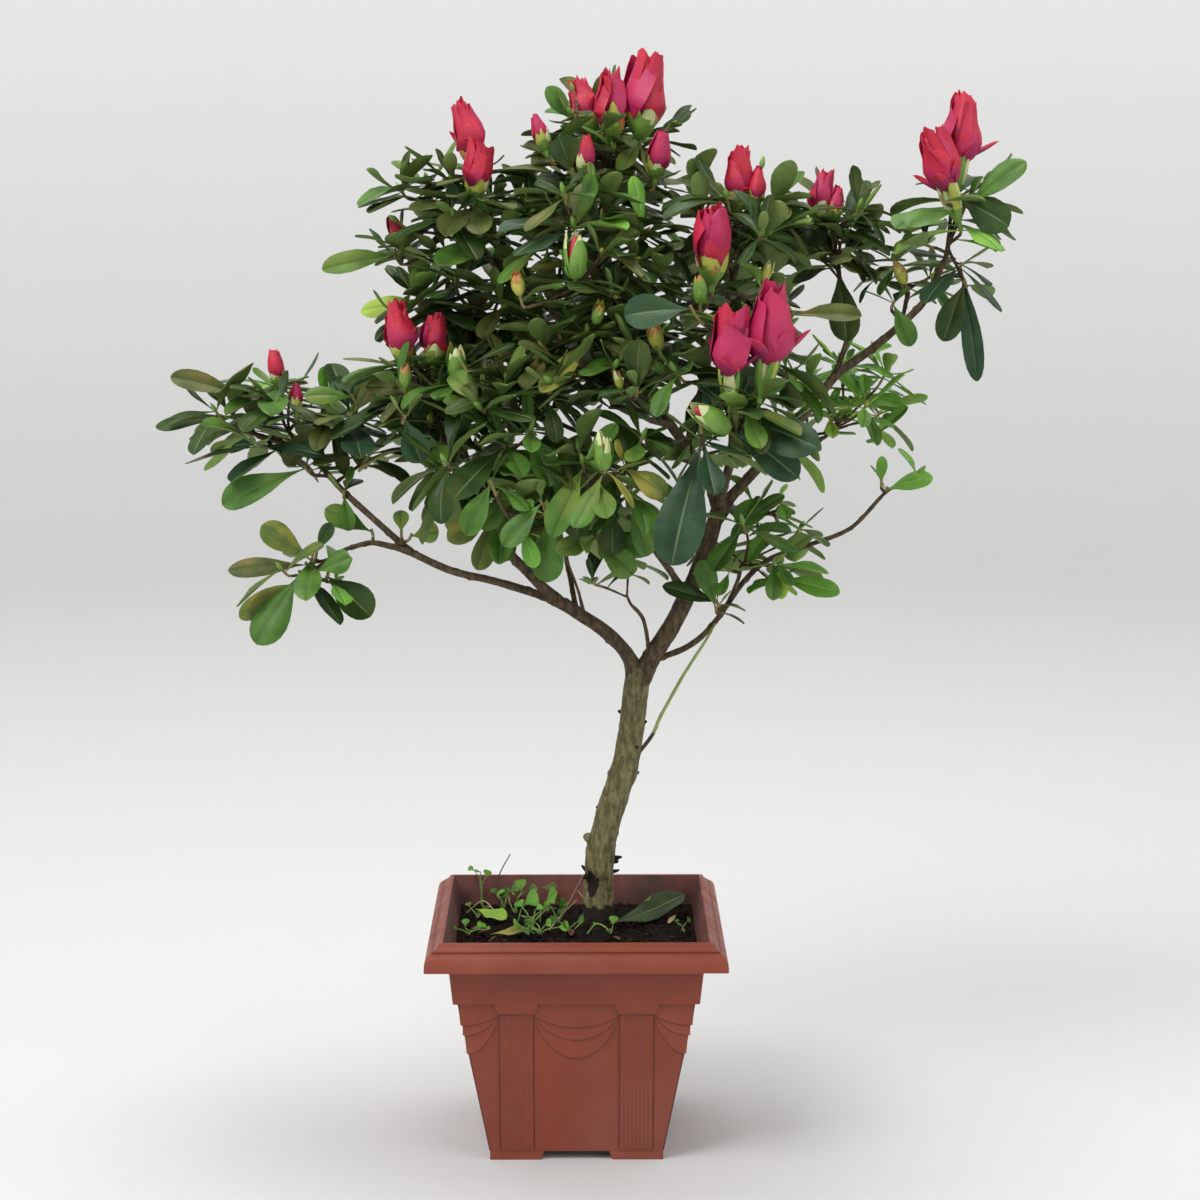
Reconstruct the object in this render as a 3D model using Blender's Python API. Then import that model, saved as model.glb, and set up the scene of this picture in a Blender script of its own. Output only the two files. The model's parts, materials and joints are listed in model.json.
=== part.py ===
"""An azalea grown as a small bonsai tree in a square plastic pot.

A leaning trunk stands on the soil and forks into a leader and a left bough. Each further bough
ends where it enters a mass of leaves, and each mass keeps to an egg-shaped space of its own.
Lengths are in metres, +Z is up, the viewer's side is -Y, and the origin is the middle of the
pot on the surface that it stands on.
"""

import math
import random
from collections import namedtuple

import bmesh
import bpy
from mathutils import Matrix, Vector
from mathutils.bvhtree import BVHTree

Limb = namedtuple("Limb", "name parent share foot_radius tip_radius clear_of route")
Mass = namedtuple("Mass", "name bough centre reach shoots leaf droop")
Flower = namedtuple("Flower", "mass centre height lean")
LongLeaf = namedtuple("LongLeaf", "mass root tip")
Shoot = namedtuple("Shoot", "tip axis leaf_size aim")

GAP = 0.0003
ROOM = 0.0005
UP = Vector((0, 0, 1))

RIM_HALF = 0.085
RIM_BOTTOM = 0.121
POT_HEIGHT = 0.136
LIP_HALF = 0.0763
LIP_WIDTH = 0.0019
WALL = 0.0022
FOOT_HEIGHT = 0.0055
FOOT_HALF = 0.0497
FOOT_WIDTH = 0.008
ARCH_HALF = 0.0185
ARCH_SPLAY = 0.002
COLLAR_BOTTOM = 0.0985
COLLAR_HALF = 0.0696
WALL_SLOPE = 0.1835
SOIL_TOP = 0.119

PILASTER_CENTRE = 0.034
PILASTER_HALF = 0.0094
PILASTER_TOP = 0.0915
PILASTER_PROUD = 0.0008
CAPITAL_HALF = 0.0124
CAPITAL_PROUD = 0.002
SWAG_TOP = 0.0955
SWAG_ENDS = 0.0925
SWAG_BOTTOMS = (0.0645, 0.0765, 0.0845)
SWAG_PROUD = (0.0007, 0.0011, 0.0015)

TRUNK_ROUTE = (
    (0.012, 0.017, SOIL_TOP + GAP),
    (0.013, 0.017, 0.142),
    (0.014, 0.016, 0.160),
    (0.017, 0.015, 0.179),
    (0.024, 0.014, 0.203),
    (0.030, 0.013, 0.225),
    (0.034, 0.010, 0.257),
    (0.036, 0.008, 0.274),
)
TRUNK_RADIUS = 0.0087
FORK_RADIUS = 0.0070
FLARE = 0.0022
FLARE_HEIGHT = 0.012
SCARS = ((0.142, 2.7, 0.0016), (0.157, 5.6, 0.0020), (0.166, 3.6, 0.0014), (0.215, 1.2, 0.0007))
SCAR_HEIGHT = 0.006

LEAF = 0.049
SMALL_LEAF = 0.033
TINY_LEAF = 0.024
LEAF_ROUND = 0.41
LEAF_WIDEST = 0.67
LEAF_THICK = 0.0007
LEAF_CUP = 0.05
LEAF_UNDER = 0.4
TIP_FALL = 0.04
LOWER_TILT = 92
UPPER_TILT = 62
UPPER_DROOP = 0.3
FACE_UP = 0.4
FACE_OUT = 0.6
LEAF_TRIES = (
    (1.0, 0.0, 0), (0.94, 0.25, 14), (0.94, -0.3, -14), (0.86, 0.1, -24), (0.86, 0.5, 20),
    (0.74, -0.5, 10), (0.74, 0.3, -8), (0.62, 0.8, 0), (0.62, -0.8, 0),
)
LEAF_SIZES = (0.88, 1.08)
GOLDEN = math.radians(137.5)
LOOSE_TURN = 0.35
LEAST_HEIGHT = 0.25
UPPER_SPREAD = 0.75
LOWER_SPREAD = 0.85
SHOOT_SPREAD = 0.75
SHOOT_RISE = 0.6
FLOWER_SHOOT = 0.85
LONG_LEAF_SHOOT = 0.8
LONG_LEAF_LEAN = 0.5
STEM_BEND = 0.15
STEM_END = 0.35
STEM_TAPER = (0.9, 0.85, 0.75)
STEM_SIDES = 5
TWIG_SHARE = 0.6
TWIG_RADIUS = 0.0010
TWIG_STEP = 0.0009
TWIG_SWEEP = 0.35
TIP_CROWDING = 1.6
LONG_TWIG = 0.028
TWIG_BOWS = (0.0, 0.25, -0.25, 0.5, -0.5, 0.8, -0.8)
BUD_RADIUS = 0.0022
BUD_LENGTH = 0.004
FLOWER_SINK = 0.0025
ROOM_LEFT = 0.62
LEAST_ROOM = 0.25

BARK = (0.105, 0.075, 0.045)
GREEN_BARK = (0.20, 0.26, 0.09)
LEAF_GREEN = (0.035, 0.085, 0.022)
PETAL_RED = (0.62, 0.025, 0.10)
POT_BROWN = (0.235, 0.062, 0.036)
SOIL_BLACK = (0.012, 0.009, 0.007)

LIMBS = (
    Limb("leader", "trunk", 0.965, 0.0053, 0.0045, (), (
        (0.046, 0.007, 0.287), (0.056, 0.006, 0.303), (0.064, 0.005, 0.320),
        (0.071, 0.003, 0.336), (0.078, 0.001, 0.358), (0.083, 0.000, 0.375),
    )),
    Limb("left_bough", "trunk", 0.955, 0.0043, 0.0036, ("leader",), (
        (0.032, 0.006, 0.280), (0.025, 0.004, 0.291), (0.013, 0.000, 0.302),
        (-0.001, -0.003, 0.312), (-0.014, -0.006, 0.320),
    )),
    Limb("left_outer_bough", "left_bough", 0.96, 0.0023, 0.0020, (), (
        (-0.043, -0.008, 0.329), (-0.070, -0.010, 0.336), (-0.090, -0.010, 0.345),
        (-0.098, -0.010, 0.349),
    )),
    Limb("left_low_bough", "left_outer_bough", 0.97, 0.0018, 0.0014, (), (
        (-0.115, -0.014, 0.353), (-0.127, -0.020, 0.351),
    )),
    Limb("left_tip_bough", "left_outer_bough", 0.95, 0.0019, 0.0016, ("left_low_bough",), (
        (-0.116, -0.004, 0.366), (-0.134, 0.006, 0.381), (-0.148, 0.016, 0.395),
    )),
    Limb("left_inner_bough", "left_bough", 0.95, 0.0031, 0.0025, ("left_outer_bough",), (
        (-0.028, -0.010, 0.336), (-0.039, -0.016, 0.349), (-0.053, -0.022, 0.370),
    )),
    Limb("left_shoulder_bough", "left_inner_bough", 0.95, 0.0019, 0.0016, (), (
        (-0.062, -0.025, 0.385), (-0.074, -0.023, 0.414),
    )),
    Limb("front_left_bough", "left_inner_bough", 0.93, 0.0017, 0.0014, ("left_shoulder_bough",), (
        (-0.052, -0.036, 0.374), (-0.049, -0.048, 0.382),
    )),
    Limb("back_left_bough", "left_inner_bough", 0.55, 0.0019, 0.0016, (), (
        (-0.046, 0.010, 0.360), (-0.060, 0.038, 0.386), (-0.067, 0.055, 0.403),
    )),
    Limb("low_back_bough", "left_bough", 0.78, 0.0017, 0.0013, (), (
        (-0.003, 0.018, 0.326), (-0.008, 0.037, 0.347),
    )),
    Limb("crown_bough", "leader", 0.97, 0.0036, 0.0020, (), (
        (0.074, 0.004, 0.391), (0.064, 0.008, 0.404), (0.045, 0.012, 0.432),
        (0.030, 0.014, 0.466), (0.018, 0.014, 0.505), (0.017, 0.012, 0.550),
    )),
    Limb("right_bough", "leader", 0.95, 0.0031, 0.0017, ("crown_bough",), (
        (0.110, -0.004, 0.402), (0.133, -0.008, 0.430), (0.147, -0.012, 0.448),
        (0.165, -0.016, 0.462), (0.184, -0.022, 0.479), (0.195, -0.027, 0.492),
        (0.203, -0.032, 0.511),
    )),
    Limb("front_right_bough", "leader", 0.9, 0.0021, 0.0017, ("right_bough",), (
        (0.084, -0.026, 0.387), (0.086, -0.056, 0.404),
    )),
    Limb("front_middle_bough", "leader", 0.5, 0.0021, 0.0016, (), (
        (0.046, -0.022, 0.348), (0.028, -0.052, 0.373),
    )),
    Limb("back_right_bough", "leader", 0.8, 0.0023, 0.0017, ("right_bough",), (
        (0.090, 0.030, 0.402), (0.088, 0.050, 0.438), (0.086, 0.064, 0.461),
    )),
    Limb("centre_bough", "crown_bough", 0.28, 0.0019, 0.0015, (), (
        (0.040, -0.016, 0.424), (0.022, -0.042, 0.442),
    )),
    Limb("centre_left_bough", "crown_bough", 0.14, 0.0020, 0.0015, (), (
        (0.036, -0.010, 0.408), (0.004, -0.032, 0.418),
    )),
    Limb("back_middle_bough", "crown_bough", 0.3, 0.0020, 0.0016, (), (
        (0.035, 0.040, 0.428), (0.018, 0.062, 0.446),
    )),
    Limb("upper_right_bough", "crown_bough", 0.2, 0.0020, 0.0015, ("right_bough",), (
        (0.074, -0.008, 0.452), (0.084, -0.021, 0.488), (0.090, -0.030, 0.512),
    )),
    Limb("mid_left_bough", "crown_bough", 0.36, 0.0021, 0.0016, (), (
        (0.015, 0.014, 0.446), (-0.015, 0.018, 0.462), (-0.038, 0.020, 0.474),
    )),
    Limb("upper_left_bough", "crown_bough", 0.5, 0.0023, 0.0017, (), (
        (0.010, 0.008, 0.466), (-0.025, 0.004, 0.492), (-0.050, 0.002, 0.513),
    )),
    Limb("centre_front_bough", "crown_bough", 0.58, 0.0019, 0.0015, (), (
        (0.020, -0.014, 0.484), (0.012, -0.036, 0.500),
    )),
    Limb("back_top_bough", "crown_bough", 0.68, 0.0018, 0.0014, (), (
        (0.018, 0.038, 0.516), (0.015, 0.056, 0.526),
    )),
    Limb("right_shoulder_bough", "right_bough", 0.52, 0.0017, 0.0013, (), (
        (0.153, -0.008, 0.469), (0.151, -0.004, 0.492),
    )),
    Limb("right_inner_bough", "right_bough", 0.77, 0.0014, 0.0011, (), (
        (0.184, -0.012, 0.482), (0.186, -0.005, 0.489),
    )),
    Limb("right_back_bough", "right_bough", 0.2, 0.0018, 0.0013, (), (
        (0.122, 0.018, 0.398), (0.144, 0.045, 0.406),
    )),
    Limb("low_right_bough", "leader", 0.12, 0.0019, 0.0011, ("trunk",), (
        (0.063, 0.004, 0.289), (0.078, 0.002, 0.302), (0.096, 0.000, 0.328),
        (0.111, 0.002, 0.341), (0.131, 0.004, 0.348), (0.157, 0.006, 0.358),
        (0.175, 0.008, 0.376),
    )),
    Limb("low_right_twig", "low_right_bough", 0.36, 0.0013, 0.0010, (), (
        (0.093, -0.004, 0.331), (0.094, -0.005, 0.336),
    )),
    Limb("inner_twig", "leader", 0.13, 0.0012, 0.0010, ("left_bough",), (
        (0.039, 0.002, 0.305), (0.033, -0.002, 0.314),
    )),
    Limb("left_bare_twig", "left_bough", 0.7, 0.0011, 0.0006, (), (
        (0.001, -0.008, 0.325), (-0.007, -0.012, 0.347),
    )),
    Limb("green_sucker", "trunk", 0.62, 0.0012, 0.0007, (), (
        (0.043, 0.008, 0.235), (0.049, 0.004, 0.249), (0.062, -0.004, 0.275),
        (0.074, -0.008, 0.295),
    )),
)

MASSES = (
    Mass("left_low", "left_low_bough", (-0.152, -0.025, 0.336), (0.046, 0.042, 0.042), 3, LEAF, 0.3),
    Mass("left_tip", "left_tip_bough", (-0.175, 0.032, 0.412), (0.070, 0.048, 0.048), 5, LEAF, 0.2),
    Mass(
        "left_shoulder", "left_shoulder_bough", (-0.084, -0.022, 0.444), (0.052, 0.046, 0.044), 5, LEAF, 0.1,
    ),
    Mass("front_left", "front_left_bough", (-0.048, -0.060, 0.395), (0.058, 0.048, 0.050), 6, LEAF, 0.6),
    Mass("front_middle", "front_middle_bough", (0.010, -0.078, 0.392), (0.054, 0.046, 0.050), 6, LEAF, 0.6),
    Mass("front_right", "front_right_bough", (0.088, -0.085, 0.427), (0.056, 0.050, 0.072), 5, LEAF, 0.5),
    Mass("low_back", "low_back_bough", (-0.009, 0.052, 0.371), (0.048, 0.042, 0.042), 4, LEAF, 0.4),
    Mass("back_left", "back_left_bough", (-0.076, 0.068, 0.426), (0.060, 0.058, 0.054), 5, LEAF, 0.2),
    Mass("back_middle", "back_middle_bough", (0.008, 0.074, 0.460), (0.060, 0.060, 0.056), 6, LEAF, 0.2),
    Mass("back_right", "back_right_bough", (0.085, 0.072, 0.480), (0.058, 0.059, 0.058), 6, LEAF, 0.2),
    Mass("back_top", "back_top_bough", (0.010, 0.070, 0.543), (0.056, 0.054, 0.048), 5, LEAF, 0.1),
    Mass("centre", "centre_bough", (0.012, -0.062, 0.458), (0.062, 0.046, 0.046), 7, LEAF, 0.2),
    Mass("centre_left", "centre_left_bough", (-0.032, -0.054, 0.438), (0.050, 0.046, 0.042), 5, LEAF, 0.3),
    Mass("centre_front", "centre_front_bough", (0.010, -0.052, 0.520), (0.058, 0.048, 0.046), 6, LEAF, 0.1),
    Mass("mid_left", "mid_left_bough", (-0.062, 0.020, 0.484), (0.058, 0.048, 0.044), 5, LEAF, 0.2),
    Mass("upper_left", "upper_left_bough", (-0.070, -0.004, 0.534), (0.064, 0.052, 0.050), 5, LEAF, 0.1),
    Mass("top", "crown_bough", (0.018, 0.010, 0.582), (0.052, 0.050, 0.046), 4, LEAF, 0.1),
    Mass("upper_right", "upper_right_bough", (0.090, -0.035, 0.532), (0.048, 0.048, 0.046), 4, LEAF, 0.1),
    Mass(
        "right_shoulder", "right_shoulder_bough", (0.144, 0.000, 0.520), (0.044, 0.044, 0.048), 5, LEAF, 0.2,
    ),
    Mass(
        "right_inner", "right_inner_bough", (0.186, 0.002, 0.502), (0.032, 0.032, 0.030), 2, SMALL_LEAF, 0.1,
    ),
    Mass("right_tip", "right_bough", (0.207, -0.034, 0.536), (0.042, 0.044, 0.080), 3, LEAF, 0.3),
    Mass("right_back", "right_back_bough", (0.161, 0.060, 0.421), (0.046, 0.044, 0.050), 6, SMALL_LEAF, 0.1),
    Mass("low_right", "low_right_twig", (0.106, 0.000, 0.346), (0.048, 0.042, 0.045), 6, SMALL_LEAF, 0.2),
    Mass("low_right_tip", "low_right_bough", (0.188, 0.010, 0.386), (0.022, 0.020, 0.020), 1, TINY_LEAF, 0),
    Mass("inner", "inner_twig", (0.026, -0.005, 0.330), (0.030, 0.028, 0.028), 2, TINY_LEAF, 0.1),
)

FLOWERS = (
    Flower("top", (0.039, 0.005, 0.606), 0.045, (0.10, 0.0)),
    Flower("top", (0.020, 0.000, 0.601), 0.036, (-0.05, -0.1)),
    Flower("top", (0.004, 0.010, 0.600), 0.030, (-0.30, 0.1)),
    Flower("top", (-0.020, -0.010, 0.585), 0.018, (-0.30, 0.0)),
    Flower("top", (0.046, -0.020, 0.573), 0.024, (0.10, -0.2)),
    Flower("upper_left", (-0.060, -0.005, 0.585), 0.036, (-0.25, 0.0)),
    Flower("upper_left", (-0.054, -0.022, 0.565), 0.030, (0.10, -0.2)),
    Flower("left_shoulder", (-0.098, -0.020, 0.475), 0.032, (-0.10, 0.0)),
    Flower("left_shoulder", (-0.079, -0.015, 0.471), 0.026, (0.05, 0.0)),
    Flower("left_tip", (-0.173, 0.030, 0.451), 0.018, (-0.10, 0.0)),
    Flower("upper_right", (0.090, -0.022, 0.560), 0.032, (0.00, 0.0)),
    Flower("upper_right", (0.074, -0.068, 0.526), 0.040, (0.00, -0.2)),
    Flower("front_right", (0.082, -0.112, 0.474), 0.040, (0.00, -0.2)),
    Flower("front_right", (0.104, -0.108, 0.483), 0.048, (0.15, -0.1)),
    Flower("right_shoulder", (0.138, -0.010, 0.550), 0.028, (0.20, 0.0)),
    Flower("right_tip", (0.212, -0.030, 0.585), 0.042, (0.10, 0.0)),
    Flower("right_tip", (0.198, -0.044, 0.569), 0.040, (-0.35, -0.1)),
)
LONG_LEAVES = (
    LongLeaf("left_low", (-0.156, -0.026, 0.339), (-0.178, -0.040, 0.300)),
    LongLeaf("left_tip", (-0.200, 0.038, 0.422), (-0.243, 0.042, 0.413)),
    LongLeaf("left_tip", (-0.194, 0.030, 0.435), (-0.232, 0.025, 0.443)),
    LongLeaf("upper_left", (-0.103, 0.000, 0.516), (-0.141, -0.005, 0.506)),
    LongLeaf("mid_left", (-0.089, 0.020, 0.488), (-0.122, 0.030, 0.481)),
    LongLeaf("right_tip", (0.214, -0.038, 0.543), (0.246, -0.042, 0.566)),
    LongLeaf("right_tip", (0.213, -0.035, 0.512), (0.222, -0.038, 0.448)),
    LongLeaf("front_right", (0.067, -0.105, 0.422), (0.052, -0.118, 0.357)),
    LongLeaf("front_right", (0.088, -0.100, 0.434), (0.127, -0.118, 0.418)),
    LongLeaf("front_middle", (-0.015, -0.085, 0.381), (-0.015, -0.095, 0.344)),
    LongLeaf("right_shoulder", (0.148, 0.000, 0.511), (0.148, -0.006, 0.464)),
    LongLeaf("right_back", (0.166, 0.062, 0.430), (0.194, 0.064, 0.422)),
    LongLeaf("low_right", (0.118, 0.002, 0.331), (0.150, -0.004, 0.322)),
    LongLeaf("low_right_tip", (0.179, 0.008, 0.382), (0.204, 0.006, 0.387)),
)
FLOWER_PROFILE = ((0.0, 0.30), (0.35, 1.0), (0.72, 0.85), (1.0, 0.32))
FLOWER_ROUND = 0.27
FLOWER_SIDES = 5


def smooth(points, steps):
    """Points on one curve through the given ones, so many to each span."""
    points = [Vector(p) for p in points]
    before = points[0] * 2 - points[1]
    after = points[-1] * 2 - points[-2]
    chain = [before, *points, after]
    curve = []
    for a, b, c, d in zip(chain, chain[1:], chain[2:], chain[3:]):
        for step in range(steps):
            t = step / steps
            straight = 2 * b + (c - a) * t
            bend = (2 * a - 5 * b + 4 * c - d) * t**2
            twist = (3 * b - a - 3 * c + d) * t**3
            curve.append((straight + bend + twist) / 2)
    curve.append(points[-1])
    return curve


def tangents(points):
    """The direction of travel at each point of a chain."""
    last = len(points) - 1
    return [(points[min(i + 1, last)] - points[max(i - 1, 0)]).normalized() for i in range(last + 1)]


def across(direction, hint=Vector((0.3, -1, 0.2))):
    """A unit vector square to the direction, on the hint's side."""
    return (hint - direction * hint.dot(direction)).normalized()


def along(points, share):
    """The point at a share of a chain's length."""
    lengths = [(b - a).length for a, b in zip(points, points[1:])]
    left = share * sum(lengths)
    for a, b, length in zip(points, points[1:], lengths):
        if left <= length:
            return a.lerp(b, left / length)
        left -= length
    return points[-1].copy()


def tube(points, radii, sides, extra=0.0, wave=None):
    """The vertices and faces of a closed tube, grown on all sides by extra."""
    directions = tangents(points)
    side = across(directions[0])
    rings = []
    for i, (point, direction) in enumerate(zip(points, directions)):
        side = across(direction, side)
        third = direction.cross(side)
        ends = {0: -extra, len(points) - 1: extra}
        centre = point + direction * ends.get(i, 0.0)
        for k in range(sides):
            angle = 2 * math.pi * k / sides
            radius = radii[i] + extra + (wave(point.z, angle) if wave else 0.0)
            rings.append(centre + (side * math.cos(angle) + third * math.sin(angle)) * radius)
    faces = []
    for i in range(len(points) - 1):
        for k in range(sides):
            a = i * sides + k
            b = i * sides + (k + 1) % sides
            faces.append((a, b, b + sides, a + sides))
    faces.append(tuple(reversed(range(sides))))
    faces.append(tuple(range((len(points) - 1) * sides, len(points) * sides)))
    return rings, faces


def taper(points, start, end):
    """A radius at each point of a chain, changing evenly from start to end."""
    last = len(points) - 1
    return [start + (end - start) * i / last for i in range(last + 1)]


def plain_material(name, colour, roughness):
    material = bpy.data.materials.new(name)
    material.use_nodes = True
    shader = material.node_tree.nodes["Principled BSDF"]
    shader.inputs["Base Color"].default_value = (*colour, 1)
    shader.inputs["Roughness"].default_value = roughness
    shader.inputs["Metallic"].default_value = 0.0
    material.diffuse_color = (*colour, 1)
    return material


def make_object(name, vertices, faces, materials, slot=0):
    """A mesh object whose faces all take one of its materials."""
    mesh = bpy.data.meshes.new(name)
    mesh.from_pydata([tuple(v) for v in vertices], [], faces)
    for material in materials:
        mesh.materials.append(material)
    for polygon in mesh.polygons:
        polygon.material_index = slot
    mesh.update()
    thing = bpy.data.objects.new(name, mesh)
    bpy.context.scene.collection.objects.link(thing)
    return thing


def remove(things):
    for thing in list(things):
        bpy.data.objects.remove(thing, do_unlink=True)


def apply_modifiers(thing):
    graph = bpy.context.evaluated_depsgraph_get()
    solid = bpy.data.meshes.new_from_object(thing.evaluated_get(graph))
    thing.modifiers.clear()
    old = thing.data
    thing.data = solid
    bpy.data.meshes.remove(old)


def keep_largest_shell(thing):
    """Drops loose scraps, and the inner walls of hollows that a join has sealed."""
    solid = bmesh.new()
    solid.from_mesh(thing.data)
    left = set(solid.faces)
    shells = []
    while left:
        shell = []
        heap = [left.pop()]
        while heap:
            face = heap.pop()
            shell.append(face)
            for edge in face.edges:
                for other in edge.link_faces:
                    if other in left:
                        left.remove(other)
                        heap.append(other)
        shells.append(shell)
    shells.sort(key=len)
    for shell in shells[:-1]:
        bmesh.ops.delete(solid, geom=shell, context="FACES")
    solid.to_mesh(thing.data)
    solid.free()


def is_closed(thing):
    solid = bmesh.new()
    solid.from_mesh(thing.data)
    closed = all(edge.is_manifold for edge in solid.edges)
    solid.free()
    return closed


def cut(thing, cutter):
    """Takes the cutter's shape out of the object, then removes the cutter."""
    cutter.hide_render = True
    cutter.display_type = "WIRE"
    boolean = thing.modifiers.new("cut", "BOOLEAN")
    boolean.operation = "DIFFERENCE"
    boolean.solver = "EXACT"
    boolean.object = cutter
    apply_modifiers(thing)
    remove([cutter])


def fuse(name, pieces, materials):
    """One object from closed pieces that overlap, each given as vertices, faces and a material's place."""
    for solver in ("EXACT", "MANIFOLD"):
        first, *others = [make_object(name, v, f, materials, slot) for v, f, slot in pieces]
        group = bpy.data.collections.new(name + "_pieces")
        for other in others:
            group.objects.link(other)
        boolean = first.modifiers.new("fuse", "BOOLEAN")
        boolean.operation = "UNION"
        boolean.solver = solver
        boolean.operand_type = "COLLECTION"
        boolean.collection = group
        apply_modifiers(first)
        remove(others)
        bpy.data.collections.remove(group)
        keep_largest_shell(first)
        if is_closed(first):
            return first
        remove([first])
    raise RuntimeError(name + " could not be fused")


def place_origin(thing, point):
    """Moves the object's origin to the point and leaves its shape where it is."""
    thing.data.transform(Matrix.Translation(-Vector(point)))
    thing.location = point


def wall_half(z):
    """Half the outer width of the pot's wall at a height."""
    return FOOT_HALF + 0.0003 + WALL_SLOPE * (z - FOOT_HEIGHT)


def pot_profile():
    """The pot's section as (half width, height), up the outside and down the inside."""
    outside = [
        (wall_half(FOOT_HEIGHT), FOOT_HEIGHT - 0.0005),
        (wall_half(COLLAR_BOTTOM), COLLAR_BOTTOM),
        (COLLAR_HALF, COLLAR_BOTTOM + 0.0004),
        (COLLAR_HALF + 0.0026, 0.1235),
        (RIM_HALF - 0.0022, RIM_BOTTOM + 0.0014),
        (RIM_HALF - 0.0016, RIM_BOTTOM),
        (RIM_HALF, RIM_BOTTOM),
        (RIM_HALF - 0.0002, RIM_BOTTOM + 0.0022),
    ]
    ogee = [(0.0826, 0.1250), (0.0798, 0.1282), (0.0784, 0.1312), (0.0772, 0.1318), (0.0768, 0.1340)]
    inside = [
        (LIP_HALF, POT_HEIGHT),
        (LIP_HALF - LIP_WIDTH, POT_HEIGHT),
        (inner_half(RIM_BOTTOM), RIM_BOTTOM),
        (inner_half(COLLAR_BOTTOM), COLLAR_BOTTOM),
        (inner_half(FOOT_HEIGHT + WALL), FOOT_HEIGHT + WALL),
    ]
    return outside + ogee + inside


def inner_half(z):
    """Half the width of the pot's inside at a height."""
    if z <= COLLAR_BOTTOM:
        return wall_half(z) - WALL
    rise = (z - COLLAR_BOTTOM) / (POT_HEIGHT - COLLAR_BOTTOM)
    foot = wall_half(COLLAR_BOTTOM) - WALL
    return foot + (LIP_HALF - LIP_WIDTH - foot) * rise


def square_shell(profile):
    """A square vessel turned up from its profile, closed by a flat bottom inside and outside."""
    corners = ((1, -1), (1, 1), (-1, 1), (-1, -1))
    vertices = [(x * half, y * half, z) for half, z in profile for x, y in corners]
    faces = []
    for i in range(len(profile) - 1):
        for k in range(4):
            a = i * 4 + k
            b = i * 4 + (k + 1) % 4
            faces.append((a, b, b + 4, a + 4))
    faces.append((3, 2, 1, 0))
    top = (len(profile) - 1) * 4
    faces.append((top, top + 1, top + 2, top + 3))
    return vertices, faces


def prism(outline, back, front):
    """A closed slab between two copies of an outline, which runs anticlockwise seen from the front."""
    count = len(outline)
    vertices = [back(u, z) for u, z in outline] + [front(u, z) for u, z in outline]
    faces = [tuple(reversed(range(count))), tuple(range(count, 2 * count))]
    for k in range(count):
        after = (k + 1) % count
        faces.append((k, after, count + after, count + k))
    return vertices, faces


def on_face(turn, depth):
    """A function that sets a point (u, z) on one of the pot's four faces, so far out from the wall."""
    rotation = Matrix.Rotation(turn, 3, "Z")
    return lambda u, z: rotation @ Vector((u, -wall_half(z) - depth, z))


def relief(outline, turn, proud):
    return prism(outline, on_face(turn, -WALL / 2), on_face(turn, proud))


def pilaster_outline(centre):
    return [
        (centre - PILASTER_HALF, FOOT_HEIGHT + 0.001),
        (centre + PILASTER_HALF, FOOT_HEIGHT + 0.001),
        (centre + PILASTER_HALF, PILASTER_TOP),
        (centre - PILASTER_HALF, PILASTER_TOP),
    ]


def capital_outline(centre):
    return [
        (centre - PILASTER_HALF, PILASTER_TOP - 0.0004),
        (centre + PILASTER_HALF, PILASTER_TOP - 0.0004),
        (centre + CAPITAL_HALF, COLLAR_BOTTOM - 0.001),
        (centre + CAPITAL_HALF, COLLAR_BOTTOM + 0.001),
        (centre - CAPITAL_HALF, COLLAR_BOTTOM + 0.001),
        (centre - CAPITAL_HALF, COLLAR_BOTTOM - 0.001),
    ]


def swag_curve(left, right, bottom, steps=6):
    """The lower edge of a hanging fold of cloth between two points of the pilasters."""
    points = []
    for i in range(steps + 1):
        share = i / steps
        sag = 1 - (2 * share - 1) ** 2
        points.append((left + (right - left) * share, SWAG_ENDS - (SWAG_ENDS - bottom) * sag**0.8))
    return points


def swag_outlines(bottom):
    """The outlines of one fold: the middle one of a face, and the two that run on to the corners."""
    inner = PILASTER_CENTRE - PILASTER_HALF + 0.001
    outer = PILASTER_CENTRE + PILASTER_HALF - 0.001
    middle = swag_curve(-inner, inner, bottom) + [(inner, SWAG_TOP), (-inner, SWAG_TOP)]
    yield middle
    past_corner = 2 * wall_half(bottom) - outer
    curve = swag_curve(outer, past_corner, bottom)
    half = curve[: len(curve) // 2 + 1]
    corner = half[-1][0]
    yield half + [(corner, SWAG_TOP), (outer, SWAG_TOP)]
    yield [(-u, z) for u, z in reversed(half)] + [(-outer, SWAG_TOP), (-corner, SWAG_TOP)]


def foot_pieces():
    """Four feet, one under each corner of the pot, each an L in plan with slanted inner ends."""
    half = FOOT_HALF
    inner = half - FOOT_WIDTH
    for turn in range(4):
        rotation = Matrix.Rotation(turn * math.pi / 2, 3, "Z")
        levels = ((0.0, ARCH_HALF + ARCH_SPLAY), (FOOT_HEIGHT, ARCH_HALF))
        vertices = []
        for z, end in levels:
            plan = ((end, -half), (half, -half), (half, -end), (inner, -end), (inner, -inner), (end, -inner))
            vertices += [rotation @ Vector((x, y, z)) for x, y in plan]
        faces = [(5, 4, 3, 2, 1, 0), (6, 7, 8, 9, 10, 11)]
        faces += [(k, (k + 1) % 6, 6 + (k + 1) % 6, 6 + k) for k in range(6)]
        yield vertices, faces


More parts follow.
